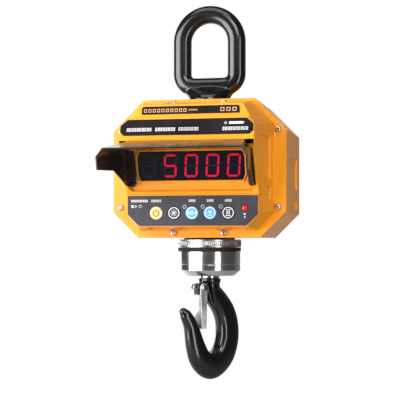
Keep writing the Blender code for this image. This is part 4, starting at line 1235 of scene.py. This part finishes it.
@dataclass
class SafetyLatch:
    """The sprung channel that closes the hook's mouth, with its bolt, nut and spring."""

    hook: Hook
    outer: float = 0.0094
    bolt_radius: float = 0.0028
    bolt_end_radius: float = 0.0018
    bolt_head: Pair = (0.0048, 0.0033)
    bolt_tail: float = 0.0057
    wire: float = 0.00055
    coil_radius: float = 0.0037
    coil_turns: float = 1.5
    coil_facets: int = 28
    coil_start: float = 0.00485
    coil_end: float = 0.00695

    def bolt(self) -> Object:
        """Return the bolt with its domed head."""
        head, thick = self.bolt_head
        seat = self.outer + 0.0003
        end = -seat - self.bolt_tail
        profile = [(0.0, seat + thick), *round_corners(
            [(0.0010, seat + thick), (head, seat + thick), (head, seat), (self.bolt_radius, seat),
             (self.bolt_radius, end + 0.0007), (self.bolt_end_radius, end)], 0.0010, 4), (0.0, end)]
        return moved(lathe("latch_bolt_turned", profile, 48), self.hook.pivot_place())

    def spring(self) -> Object:
        """Return the coil round the bolt."""
        steps = int(self.coil_turns * self.coil_facets)
        bm = bmesh.new()
        rings = []
        for i in range(steps + 1):
            turn = FULL_TURN * self.coil_turns * i / steps
            out = Vector((math.cos(turn), math.sin(turn), 0.0))
            rise = self.coil_start + (self.coil_end - self.coil_start) * i / steps
            centre = out * self.coil_radius + Vector((0, 0, rise))
            rings.append(ellipse(centre, out, self.wire, Vector((0.0, 0.0, 1.0)), self.wire, 10))
        add_loft(bm, rings)
        return moved(link_mesh("latch_spring_coil", bm), self.hook.pivot_place())

    def make(self, shop: Workshop) -> None:
        """Build and deliver the latch and what holds it."""
        shop.deliver(casting("latch", 0.0004, 25.0, 0.0012), Palette.LATCH, "latch", ["latch"])
        shop.deliver(self.bolt(), Palette.SCREW, "hook", ["latch_bolt"])
        shop.deliver(casting("latch_nut", 0.0003, 25.0, 0.0012, 2), Palette.DARK_STEEL, "hook", ["latch_nut"])
        shop.deliver(self.spring(), Palette.STEEL, "hook", ["latch_spring"])


# ---------------------------------------------------------------- swivel

@dataclass
class Swivel:
    """The knurled lock ring, the seal, the bearing cup and the bush under the housing."""

    ring_radius: float = 0.0424
    ring_top: float = -0.2883
    ring_end: float = -0.2987
    neck: float = 0.0356
    ring_groove: float = 0.0008
    ridge_count: int = 110
    ridge_width: float = 0.0007
    ridge_height: float = 0.0054
    seal_radius: float = 0.0420
    seal_levels: Pair = (-0.2990, -0.3040)
    bush_radii: Pair = (0.0110, 0.0130)
    bush_levels: Pair = (-0.3367, -0.3395)
    cup_radius: float = 0.0411
    cup_neck: float = 0.0353
    cup_foot: float = 0.0335
    cup_bore: float = 0.0295
    cup_hole: float = 0.0114
    cup_top: float = -0.2898
    cup_step: float = -0.3043
    cup_edge: float = -0.3294
    cup_end: float = -0.3364
    cup_floor: float = -0.3270
    groove_z: float = -0.3217

    def lock_ring(self, shop: Workshop) -> Object:
        """Return the ring with its band of ridges."""
        top, end, out, groove = self.ring_top, self.ring_end, self.ring_radius, self.ring_groove
        rim = out - 0.0002
        profile = round_corners((
            (self.neck, top), (rim, top), (rim, top - 0.0022), (out - groove, top - 0.0025),
            (out - groove, end + 0.0025), (rim, end + 0.0022), (rim, end), (self.neck, end)),
            0.0005, 3, True)
        ring = lathe("lock_ring", profile, 128, True)
        return Knurl().run(ring, Count=self.ridge_count, Radius=out - groove + 0.0001,
                           Width=self.ridge_width, Height=self.ridge_height, Middle=(top + end) / 2,
                           Material=shop.material(Palette.KNURL))

    def cup(self) -> Object:
        """Return the polished cup, with a fine groove and a broad chamfer."""
        out, groove, floor = self.cup_radius, self.groove_z, self.cup_floor
        outer = round_corners((
            (self.cup_neck, self.cup_top), (self.cup_neck, self.cup_step), (out, self.cup_step),
            (out, groove + 0.0005), (out - 0.0004, groove + 0.0003), (out - 0.0004, groove - 0.0003),
            (out, groove - 0.0005), (out, self.cup_edge), (self.cup_foot, self.cup_end),
            (self.cup_hole, self.cup_end), (self.cup_hole, floor), (self.cup_bore, floor),
            (self.cup_bore, self.cup_top)), 0.0006, 4, True)
        return lathe("bearing_cup", outer, 160, True)

    def band(self, name: str, radii: Pair, levels: Pair, corner: float, parts: int,
             steps: int) -> Object:
        """Return a plain ring with rounded edges.

        Args:
            name: Name of the piece.
            radii: Its inner and outer radius.
            levels: Its top and its underside.
            corner: Size of the rounding.
            parts: Pieces in each rounding.
            steps: Facets round it.

        Returns:
            The ring.
        """
        (inner, outer), (top, end) = radii, levels
        corners = ((inner, top), (outer, top), (outer, end), (inner, end))
        return lathe(name, round_corners(corners, corner, parts, True), steps, True)

    def make(self, shop: Workshop) -> None:
        """Build and deliver the pieces, and dress the CAD nodes inside."""
        shop.deliver(self.lock_ring(shop), Palette.KNURL, ROOT, ["knurled_ring"])
        seal = self.band("seal_band", (self.neck, self.seal_radius), self.seal_levels, 0.0009, 4, 128)
        shop.deliver(seal, Palette.RUBBER, ROOT, ["seal_ring"])
        shop.deliver(self.cup(), Palette.BRIGHT, ROOT, ["bearing_housing"])
        bush = self.band("bush_ring", self.bush_radii, self.bush_levels, 0.0004, 3, 96)
        shop.deliver(bush, Palette.BRIGHT, ROOT, ["swivel_bush"])
        shop.dress(Palette.STEEL, "load_stem", "lower_race", "ball_ring")
        shop.dress(Palette.RUBBER, "bottom_seal")


# ---------------------------------------------------------------- housing

@dataclass(frozen=True)
class PrintRow:
    """A row of plain blocks: its middle, their number, pitch, height and stroke."""

    x: float
    z: float
    count: int
    pitch: float
    height: float
    stroke: float


@dataclass
class Housing:
    """The orange castings, their gaskets, the plates on the head and the small sticker."""

    edge: float = 0.0009
    door_edge: float = 0.0007
    name_outline: tuple[Pair, ...] = ((0.0600, 0.0051), (0.0620, 0.0031), (0.0620, -0.0051))
    rating_outline: tuple[Pair, ...] = ((0.0744, 0.0103), (0.0830, 0.0026), (0.0830, -0.0056),
                                        (0.0785, -0.0104))
    name_tilt: float = math.atan2(0.0035, 0.0150)
    rating_tilt: float = math.atan2(0.0080, 0.0274)
    name_centre: Triple = (0.0, -0.12016, -0.1281)
    rating_centre: Triple = (0.0, -0.14447, -0.1515)
    proud: float = 0.0009
    name_rows: tuple[PrintRow, ...] = (PrintRow(-0.0320, -0.0004, 10, 0.0056, 0.0046, 0.0009),
                                       PrintRow(0.0035, -0.0002, 4, 0.0030, 0.0020, 0.0005),
                                       PrintRow(0.0480, -0.0002, 3, 0.0076, 0.0050, 0.0010))
    rating_rows: tuple[PrintRow, ...] = (PrintRow(-0.0590, -0.0030, 10, 0.0032, 0.0044, 0.0007),
                                         PrintRow(-0.0260, -0.0030, 8, 0.0032, 0.0044, 0.0007),
                                         PrintRow(0.0030, -0.0030, 8, 0.0032, 0.0044, 0.0007),
                                         PrintRow(0.0610, -0.0034, 10, 0.0032, 0.0044, 0.0007))
    rating_tab: tuple[Pair, ...] = ((0.0530, 0.0025), (0.0700, 0.0025), (0.0720, 0.0040),
                                    (0.0700, 0.0055), (0.0530, 0.0055))
    sticker_at: Triple = (0.1040, -0.0270, -0.2623)
    sticker_half: float = 0.0060
    chamfer: float = math.radians(45.0)

    def castings(self, shop: Workshop) -> None:
        """Round and deliver the front cover, the body, the rear cover and the battery door."""
        for node in ("front_cover", "housing_body", "rear_cover"):
            shop.deliver(casting(node, self.edge), Palette.ORANGE, ROOT, [node])
        door = casting("battery_door", self.door_edge)
        shop.deliver(door, Palette.ORANGE, "battery_door", ["battery_door"])

    def face(self, centre: Triple, tilt: float) -> Matrix:
        """Return a place on a leaning face, with its own -Y outwards."""
        return Matrix.Translation(centre) @ Matrix.Rotation(-tilt, 4, "X")

    def plate(self, name: str, outline: Sequence[Pair], centre: Triple, tilt: float) -> Object:
        """Return a thin plate on a leaning face.

        Args:
            name: Name of the piece.
            outline: Its half outline for x > 0.
            centre: Middle of its back face.
            tilt: How far it leans back, in radians.

        Returns:
            The plate.
        """
        full = [*outline, *((-x, z) for x, z in reversed(outline))]
        shape = Ink().polygon(round_corners(full, 0.0012, 4, True))
        return shape.build(name, self.face(centre, tilt), self.proud)

    def make(self, shop: Workshop) -> None:
        """Build and deliver everything orange, and what lies on it."""
        self.castings(shop)
        shop.dress(Palette.RUBBER, "front_gasket", "rear_gasket")
        name = self.plate("name_strip", self.name_outline, self.name_centre, self.name_tilt)
        shop.deliver(name, Palette.PLATE, ROOT, ["name_plate"])
        rating = self.plate("rating_strip", self.rating_outline, self.rating_centre, self.rating_tilt)
        shop.deliver(rating, Palette.PLATE, ROOT, ["rating_plate"])
        self.marks(shop)
        shop.dress(Palette.BOARD, "main_board")

    def marks(self, shop: Workshop) -> None:
        """Build and deliver the plain marks on the plates and the blank sticker."""
        lift = Matrix.Translation((0.0, -self.proud, 0.0))
        name, rating = Ink(), Ink()
        for drawing, rows in ((name, self.name_rows), (rating, self.rating_rows)):
            for row in rows:
                drawing.blocks(row.x, row.z, row.count, row.pitch, row.height, row.stroke)
        place = self.face(self.name_centre, self.name_tilt) @ lift
        shop.deliver(name.build("name_marks", place, PRINT), Palette.BRONZE_INK)
        rating.polygon(round_corners(self.rating_tab, 0.0006, 3, True))
        rating.arc(0.0488, 0.0040, 0.0010, 0.0015)
        place = self.face(self.rating_centre, self.rating_tilt) @ lift
        shop.deliver(rating.build("rating_marks", place, PRINT), Palette.PALE_INK)
        self.sticker(shop)

    def sticker(self, shop: Workshop) -> None:
        """Build and deliver the blank sticker on the lower right chamfer."""
        sine, cosine = math.sin(self.chamfer), math.cos(self.chamfer)
        x, y, z = self.sticker_at
        place = Matrix(((0.0, -sine, cosine, x), (1.0, 0.0, 0.0, y), (0.0, cosine, sine, z),
                        (0.0, 0.0, 0.0, 1.0)))
        half = self.sticker_half
        square = ((-half, -half), (half, -half), (half, half), (-half, half))
        shape = Ink().polygon(round_corners(square, 0.0008, 3, True))
        shop.deliver(shape.build("blank_sticker", place, 2 * PRINT), Palette.STICKER)


@dataclass
class CoverScrews:
    """The domed screws of the front and rear covers."""

    radius: float = 0.0040
    front_y: float = -0.0717
    rear_y: float = 0.0623
    front: tuple[Pair, ...] = ((0.1028, -0.1491), (0.1028, -0.2475), (0.0327, -0.1146), (0.0327, -0.2802))
    rear: tuple[Pair, ...] = ((0.1036, -0.1600), (0.1036, -0.2360))
    head: tuple[Pair, ...] = ((0.40, 0.46), (0.46, 0.93), (0.60, 0.90), (0.84, 0.72), (0.97, 0.44),
                              (1.0, 0.20), (1.0, 0.0))
    socket_limit: float = 0.5
    socket_share: float = 0.92

    def head_mesh(self) -> Object:
        """Return one screw head of radius 1, with a six-sided socket."""
        bm = bmesh.new()
        rings = []
        for r, z in self.head:
            ring = circle(r, z, 24)
            for i, spot in enumerate(ring if r < self.socket_limit else ()):
                fold = (FULL_TURN * i / 24 + math.pi / 6) % (math.pi / 3) - math.pi / 6
                spot.xy *= self.socket_share / math.cos(fold)
            rings.append(ring)
        add_loft(bm, rings)
        return link_mesh("screw_head_pattern", bm, 35.0)

    def places(self) -> Object:
        """Return a mesh of points, each with the direction that its screw faces."""
        spots = [((x * side, self.front_y, z), (0.0, -1.0, 0.0)) for x, z in self.front for side in (-1, 1)]
        spots += [((x * side, self.rear_y, z), (0.0, 1.0, 0.0)) for x, z in self.rear for side in (-1, 1)]
        mesh = bpy.data.meshes.new("cover_screws")
        mesh.from_pydata([spot for spot, _ in spots], [], [])
        outward = mesh.attributes.new("outward", "FLOAT_VECTOR", "POINT")
        for item, (_, direction) in zip(outward.data, spots):
            item.vector = direction
        obj = bpy.data.objects.new("cover_screws", mesh)
        bpy.context.scene.collection.objects.link(obj)
        return obj

    def make(self, shop: Workshop) -> None:
        """Build and deliver all the cover screws as one piece."""
        head = self.head_mesh()
        screws = ScrewSet().run(self.places(), Head=head, Head_Radius=self.radius,
                                Material=shop.material(Palette.SCREW))
        bpy.data.objects.remove(head)
        names = [f"front_screw_{i + 1}" for i in range(2 * len(self.front))]
        names += [f"rear_screw_{i + 1}" for i in range(2 * len(self.rear))]
        shop.deliver(screws, Palette.SCREW, ROOT, names)


# ---------------------------------------------------------------- display, visor and keypad

@dataclass
class Display:
    """The leaning window with five seven-segment digits."""

    centre: Triple = (0.0, -0.11805, -0.1971)
    tilt: float = math.radians(16.55)
    pitch: float = 0.0268
    width: float = 0.0168
    height: float = 0.0292
    stroke: float = 0.0026
    gap: float = 0.0004
    slant: float = 0.10
    middle_x: float = 0.0006
    reading: tuple[int | None, ...] = (None, 5, 0, 0, 0)
    segments: tuple[str, ...] = ("abcdef", "bc", "abged", "abgcd", "fgbc", "afgcd", "afgedc", "abc",
                                 "abcdefg", "abcdfg")

    def plane(self) -> Matrix:
        """Return the window's plane: x across, z up along the window, y into the housing."""
        return Matrix.Translation(self.centre) @ Matrix.Rotation(self.tilt, 4, "X")

    def segment(self, label: str) -> list[Pair]:
        """Return one segment's outline round the digit's middle.

        Args:
            label: a to g, in the usual order.

        Returns:
            Its six corners.
        """
        half_w = (self.width - self.stroke) / 2
        half_h = (self.height - self.stroke) / 2
        half, gap = self.stroke / 2, self.gap
        level = {"a": half_h, "g": 0.0, "d": -half_h}
        if label in level:
            z, reach = level[label], half_w - gap
            return [(-reach, z), (half - reach, z + half), (reach - half, z + half), (reach, z),
                    (reach - half, z - half), (half - reach, z - half)]
        x = half_w if label in "bc" else -half_w
        sign = 1 if label in "bf" else -1
        near, far = sign * gap, sign * (half_h - gap)
        return [(x, near), (x + half, near + sign * half), (x + half, far - sign * half), (x, far),
                (x - half, far - sign * half), (x - half, near + sign * half)]

    def digits(self, lit: bool) -> Ink:
        """Return the outlines of all lit or all unlit segments."""
        drawing = Ink()
        for place, value in enumerate(self.reading):
            shown = "" if value is None else self.segments[value]
            left = self.middle_x + (place - 2) * self.pitch
            for label in "abcdefg":
                if (label in shown) == lit:
                    drawing.polygon((left + x + z * self.slant, z) for x, z in self.segment(label))
        return drawing

    def make(self, shop: Workshop) -> None:
        """Build and deliver the window and the digits, and dress what is behind them."""
        shop.deliver(casting("display_window", 0.0005), Palette.GLASS, ROOT, ["display_window"])
        face = self.plane() @ Matrix.Translation((0.0, 0.00002, 0.0))
        shop.deliver(self.digits(True).build("digits_lit", face, 0.00010), Palette.DIGIT)
        shop.deliver(self.digits(False).build("digits_unlit", face, PRINT), Palette.UNLIT)
        shop.dress(Palette.UNLIT, "digit_display")
        shop.dress(Palette.BOARD, "display_board")


@dataclass
class Visor:
    """The folded hood over the window and its two dark screws."""

    display: Display
    screw_at: Pair = (0.0753, -0.0228)
    head_radius: float = 0.0032

    def screw(self, side: int) -> Object:
        """Return one screw, square to the window.

        Args:
            side: -1 for the left arm, 1 for the right arm.

        Returns:
            The screw.
        """
        name = "left" if side < 0 else "right"
        profile = [(0.0, 0.0016), *round_corners([(0.0010, 0.0016), (0.0013, 0.0029), (0.0022, 0.0028),
                                                  (self.head_radius, 0.0016), (self.head_radius, 0.0008),
                                                  (0.0016, 0.0008), (0.0016, -0.0068)], 0.0005, 3),
                   (0.0, -0.0070)]
        x, z = self.screw_at
        place = self.display.plane() @ Matrix.Translation((side * x, 0.0, z))
        return moved(lathe(f"visor_{name}_screw_head", profile, 40),
                     place @ Matrix.Rotation(math.radians(90.0), 4, "X"))

    def make(self, shop: Workshop) -> None:
        """Build and deliver the hood and its screws."""
        shop.deliver(casting("visor", 0.0005, 22.0, 0.0012), Palette.VISOR, ROOT, ["visor"])
        for side, node in ((-1, "visor_screw_left"), (1, "visor_screw_right")):
            shop.deliver(self.screw(side), Palette.DARK_STEEL, ROOT, [node])


@dataclass
class Keypad:
    """The dark overlay with five keys, indicators, a lens and plain marks."""

    panel_y: float = -0.1100
    pitch: float = 0.02297
    key_z: float = -0.2555
    key_radius: float = 0.0083
    dome: float = 0.0022
    behind: float = 0.0048
    lens_at: Pair = (0.0666, -0.2495)
    indicators: tuple[float, ...] = (-0.0096, 0.0136, 0.0365)
    indicator_z: float = -0.2478
    captions: tuple[tuple[float, int], ...] = ((-0.0677, 10), (-0.0460, 6), (0.0, 4), (0.0230, 4),
                                               (0.0460, 4))
    caption_z: float = -0.2403
    battery_at: Pair = (-0.0751, -0.2471)
    keys: tuple[tuple[str, Palette], ...] = (
        ("power", Palette.KEY_YELLOW), ("light", Palette.KEY_CHARCOAL), ("zero", Palette.KEY_BLUE),
        ("tare", Palette.KEY_BLUE), ("hold", Palette.KEY_CHARCOAL))

    def key_x(self, index: int) -> float:
        """Return the middle of a key, counted from the left."""
        return (index - 2) * self.pitch

    def key(self, name: str, index: int) -> Object:
        """Return one key with a soft rim and a flange behind the panel."""
        r, back = self.key_radius, self.behind
        profile = [(0.0, self.dome + 0.0001), *round_corners(
            [(0.0030, self.dome + 0.0001), (r - 0.0010, self.dome - 0.0001), (r, self.dome - 0.0011),
             (r, -back), (r + 0.0013, -back), (r + 0.0013, -back - 0.0013)], 0.0006, 4),
            (0.0, -back - 0.0013)]
        return moved(lathe(f"key_{name}_cap", profile, 56),
                     facing_front((self.key_x(index), self.panel_y, self.key_z)))

    def icon(self, name: str) -> Ink:
        """Return the plain sign on a key, round the key's middle."""
        drawing = Ink()
        if name == "power":
            drawing.arc(0.0, -0.0004, 0.0033, 0.0042, math.radians(125.0), math.radians(290.0))
            drawing.bar(0.0, 0.0025, 0.0010, 0.0040)
        elif name == "light":
            drawing.disc(0.0014)
            for i in range(8):
                turn = FULL_TURN * i / 8
                drawing.bar(0.0032 * math.cos(turn), 0.0032 * math.sin(turn), 0.0024, 0.0007, turn)
        elif name == "zero":
            drawing.arc(0.0, 0.0, 0.0015, 0.0023)
            for side in (-1, 1):
                drawing.polygon([(side * 0.0030, 0.0), (side * 0.0052, 0.0018), (side * 0.0052, -0.0018)])
        elif name == "tare":
            drawing.polygon([(0.0, -0.0014), (0.0024, 0.0024), (-0.0024, 0.0024)])
            drawing.bar(0.0, -0.0028, 0.0060, 0.0009)
            for side in (-1, 1):
                drawing.polygon([(side * 0.0036, 0.0), (side * 0.0054, 0.0014), (side * 0.0054, -0.0014)])
        else:
            for side in (-1, 1):
                drawing.bar(side * 0.0013, 0.0, 0.0011, 0.0046)
                drawing.bar(0.0, side * 0.0036, 0.0064, 0.0008)
        return drawing

    def rim(self) -> Ink:
        """Return the pale ring round a key's edge."""
        return Ink().arc(0.0, 0.0, self.key_radius - 0.0022, self.key_radius - 0.0012, sides=56)

    def overlay_marks(self) -> Ink:
        """Return the plain marks printed on the overlay."""
        drawing = Ink()
        for x in self.indicators:
            drawing.arc(x, self.indicator_z, 0.0020, 0.0025, 0.0, FULL_TURN, 6)
        for x, count in self.captions:
            drawing.blocks(x, self.caption_z, count, 0.0022, 0.0030, 0.00055)
        left, level = self.battery_at
        for side in (-1, 1):
            drawing.bar(left, level + side * 0.0013, 0.0060, 0.0004)
        drawing.bar(left - 0.0018, level, 0.0024, 0.0022)
        drawing.bar(left + 0.0028, level, 0.0004, 0.0022)
        drawing.bar(left + 0.0036, level, 0.0008, 0.0012)
        drawing.arc(left + 0.0084, level, 0.0014, 0.0019, sides=24)
        lens_x, lens_z = self.lens_at
        drawing.polygon([(lens_x, lens_z - 0.0094), (lens_x + 0.0016, lens_z - 0.0070),
                         (lens_x - 0.0016, lens_z - 0.0070)])
        drawing.bar(lens_x, lens_z - 0.0116, 0.0012, 0.0024)
        return drawing

    def lens(self) -> Object:
        """Return the domed red receiver lens."""
        back = self.behind
        profile = [(0.0, 0.0031), (0.0012, 0.0030), (0.0023, 0.0026), (0.0032, 0.0019), (0.0038, 0.0010),
                   (0.0040, 0.0), (0.0040, -back), (0.0050, -back), (0.0050, -back - 0.0010),
                   (0.0, -back - 0.0010)]
        x, z = self.lens_at
        return moved(lathe("receiver_lens_dome", profile, 48), facing_front((x, self.panel_y, z)))

    def make(self, shop: Workshop) -> None:
        """Build and deliver the overlay's marks, the keys and the lens."""
        shop.deliver(casting("keypad_overlay", 0.0003), Palette.OVERLAY, ROOT, ["keypad_overlay"])
        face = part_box("keypad_overlay")[0][1]
        marks = self.overlay_marks().build("overlay_marks", Matrix.Translation((0.0, face, 0.0)), 0.00005)
        shop.deliver(marks, Palette.PALE_INK)
        for index, (name, colour) in enumerate(self.keys):
            body = f"key_{name}"
            shop.deliver(self.key(name, index), colour, body, [body])
            ink = Palette.DARK_INK if name == "power" else Palette.PALE_INK
            place = Matrix.Translation((self.key_x(index), self.panel_y - self.dome - PRINT, self.key_z))
            shop.deliver(self.icon(name).build(f"key_{name}_sign", place, 0.00008), ink, body)
            shop.deliver(self.rim().build(f"key_{name}_rim", place, PRINT), Palette.PALE_INK, body)
        shop.deliver(self.lens(), Palette.LENS, ROOT, ["receiver_lens"])
        shop.dress(Palette.BOARD, "keypad_board")


@dataclass
class BatteryBay:
    """The knob of the battery door, the hinge pin, and what is behind the door."""

    knob_edge: float = 0.0005

    def make(self, shop: Workshop) -> None:
        """Build and deliver the knob, and dress the rest."""
        knob = casting("door_knob", self.knob_edge, 30.0, 0.0015)
        shop.deliver(knob, Palette.PLATE, "door_knob", ["door_knob"])
        shop.dress(Palette.STEEL, "door_hinge_pin")
        shop.dress(Palette.PLATE, "battery_tray")
        shop.dress(Palette.WRAP, "battery_pack")


# ---------------------------------------------------------------- floor, light and camera

@dataclass(frozen=True)
class Softbox:
    """A large rectangular lamp."""

    name: str
    place: Triple
    target: Triple
    size: Pair
    power: float


@dataclass
class Studio:
    """A pale floor that curves up behind, soft lamps and the camera."""

    camera_place: Triple = (0.3165, -1.5797, -0.2951)
    camera_aim: Triple = (-0.2042, 0.9789, 0.0)
    lens: float = 108.45
    shift_y: float = 0.1115
    floor_z: float = -0.85
    world: float = 0.07
    near_glow: float = 0.03
    far_glow: float = 1.5
    floor_front: float = -3.0
    bend: float = 0.9
    wall_y: float = 2.6
    wall_top: float = 3.0
    half_width: float = 4.5
    lamps: tuple[Softbox, ...] = (
        Softbox("key_left", (-1.25, -1.30, -0.10), (0.0, 0.0, -0.24), (1.6, 1.5), 58.0),
        Softbox("strip_right", (1.05, -1.15, -0.30), (0.0, 0.0, -0.26), (0.35, 1.3), 9.0),
        Softbox("front", (0.55, -1.90, 0.85), (0.0, 0.0, -0.20), (0.9, 0.7), 14.0),
        Softbox("top", (-0.1, -0.75, 1.15), (0.0, 0.0, -0.15), (1.3, 0.9), 9.0),
    )

    def backdrop(self) -> Object:
        """Return the floor and wall in one curved sheet."""
        bend, far, half = self.bend, self.wall_y, self.half_width
        outline = [(self.floor_front, self.floor_z)]
        for i in range(17):
            turn = math.pi / 2 * i / 16
            outline.append((far - bend + bend * math.sin(turn), self.floor_z + bend * (1 - math.cos(turn))))
        outline.append((far, self.wall_top))
        bm = bmesh.new()
        left = [bm.verts.new((-half, y, z)) for y, z in outline]
        right = [bm.verts.new((half, y, z)) for y, z in outline]
        for i in range(len(outline) - 1):
            bm.faces.new((left[i], right[i], right[i + 1], left[i + 1]))
        mesh = bpy.data.meshes.new("backdrop")
        bm.to_mesh(mesh)
        bm.free()
        mesh.shade_smooth()
        obj = bpy.data.objects.new("backdrop", mesh)
        bpy.context.scene.collection.objects.link(obj)
        return obj

    def make(self) -> None:
        """Build the floor, the world, the lamps and the camera."""
        floor = self.backdrop()
        floor.data.materials.append(self.paper())
        floor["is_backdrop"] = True
        self.light_world()
        for lamp in self.lamps:
            self.add_lamp(lamp)
        self.add_camera()

    def paper(self) -> Material:
        """Make pale paper, evenly bright for the camera and dimmer for the object at the right and front.

        Returns:
            The material.
        """
        material = bpy.data.materials.new("pale_paper")
        material.use_nodes = True
        shading = Shading(material.node_tree)
        shader = material.node_tree.nodes["Principled BSDF"]
        shader.inputs["Roughness"].default_value = 0.9
        fibre = shading.noise(shading.place(), 3.0, 4.0)
        split = shading.add("ShaderNodeSeparateXYZ")
        shading.feed(split.inputs[0], shading.place())
        behind = shading.spread(split.outputs["Y"], self.near_glow, self.far_glow, -0.2, 1.2)
        leftward = shading.spread(split.outputs["X"], 1.0, self.near_glow, -0.9, 0.3)
        far = shading.math("MULTIPLY", behind, leftward)
        seen = shading.add("ShaderNodeLightPath").outputs["Is Camera Ray"]
        shading.feed(shader.inputs["Base Color"],
                     shading.mix(seen, (0.35, 0.35, 0.35, 1.0), (0.0, 0.0, 0.0, 1.0)))
        shading.feed(shader.inputs["Emission Color"],
                     shading.mix(fibre, (0.975, 0.975, 0.975, 1.0), (1.0, 1.0, 1.0, 1.0)))
        bright = shading.math("MULTIPLY", seen, 1.02)
        hidden = shading.math("MULTIPLY", shading.math("SUBTRACT", 1.0, seen), far)
        shading.feed(shader.inputs["Emission Strength"], shading.math("ADD", bright, hidden))
        return material

    def light_world(self) -> None:
        """Set a dim surround, which the camera itself sees as pale."""
        world = bpy.data.worlds.new("studio")
        world.use_nodes = True
        shading = Shading(world.node_tree)
        back = world.node_tree.nodes["Background"]
        back.inputs["Color"].default_value = (1.0, 1.0, 1.0, 1.0)
        seen = shading.add("ShaderNodeLightPath").outputs["Is Camera Ray"]
        shading.feed(back.inputs["Strength"], shading.spread(seen, self.world, 1.0, 0.0, 1.0))
        bpy.context.scene.world = world
        bpy.context.scene.view_settings.view_transform = "Standard"

    def add_lamp(self, lamp: Softbox) -> None:
        """Add one softbox."""
        data = bpy.data.lights.new(lamp.name, "AREA")
        data.shape = "RECTANGLE"
        data.size, data.size_y = lamp.size
        data.energy = lamp.power
        obj = bpy.data.objects.new(lamp.name, data)
        obj.location = lamp.place
        aim = Vector(lamp.target) - Vector(lamp.place)
        obj.rotation_euler = aim.to_track_quat("-Z", "Y").to_euler()
        bpy.context.scene.collection.objects.link(obj)

    def add_camera(self) -> None:
        """Add the camera and make it the scene's."""
        data = bpy.data.cameras.new("camera")
        data.lens = self.lens
        data.sensor_width = 36.0
        data.shift_y = self.shift_y
        data.clip_end = 50.0
        obj = bpy.data.objects.new("camera", data)
        obj.location = self.camera_place
        obj.rotation_euler = Vector(self.camera_aim).to_track_quat("-Z", "Y").to_euler()
        bpy.context.scene.collection.objects.link(obj)
        bpy.context.scene.camera = obj


def save_sizes() -> None:
    """Work out the box of the CAD model and of the finished model; the result is not kept."""
    def plain(bounds: Sequence[Sequence[float]]) -> list[list[float]]:
        """Return a box as lists of numbers."""
        return [[float(value) for value in corner] for corner in bounds]

    {"cad": plain(CAD_BOUNDS), "visual": plain(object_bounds())}


def main() -> None:
    """Build every sub-assembly, then the studio."""
    logging.basicConfig(level=logging.INFO, format="%(name)s: %(message)s")
    shop = Workshop()
    hook = Hook()
    display = Display()
    for part in (LiftingEye(), Housing(), CoverScrews(), display, Visor(display), Keypad(), BatteryBay(),
                 Swivel(), hook, SafetyLatch(hook)):
        log.info("building %s", type(part).__name__)
        part.make(shop)
    Studio().make()
    save_sizes()


if __name__ == "__main__":
    main()
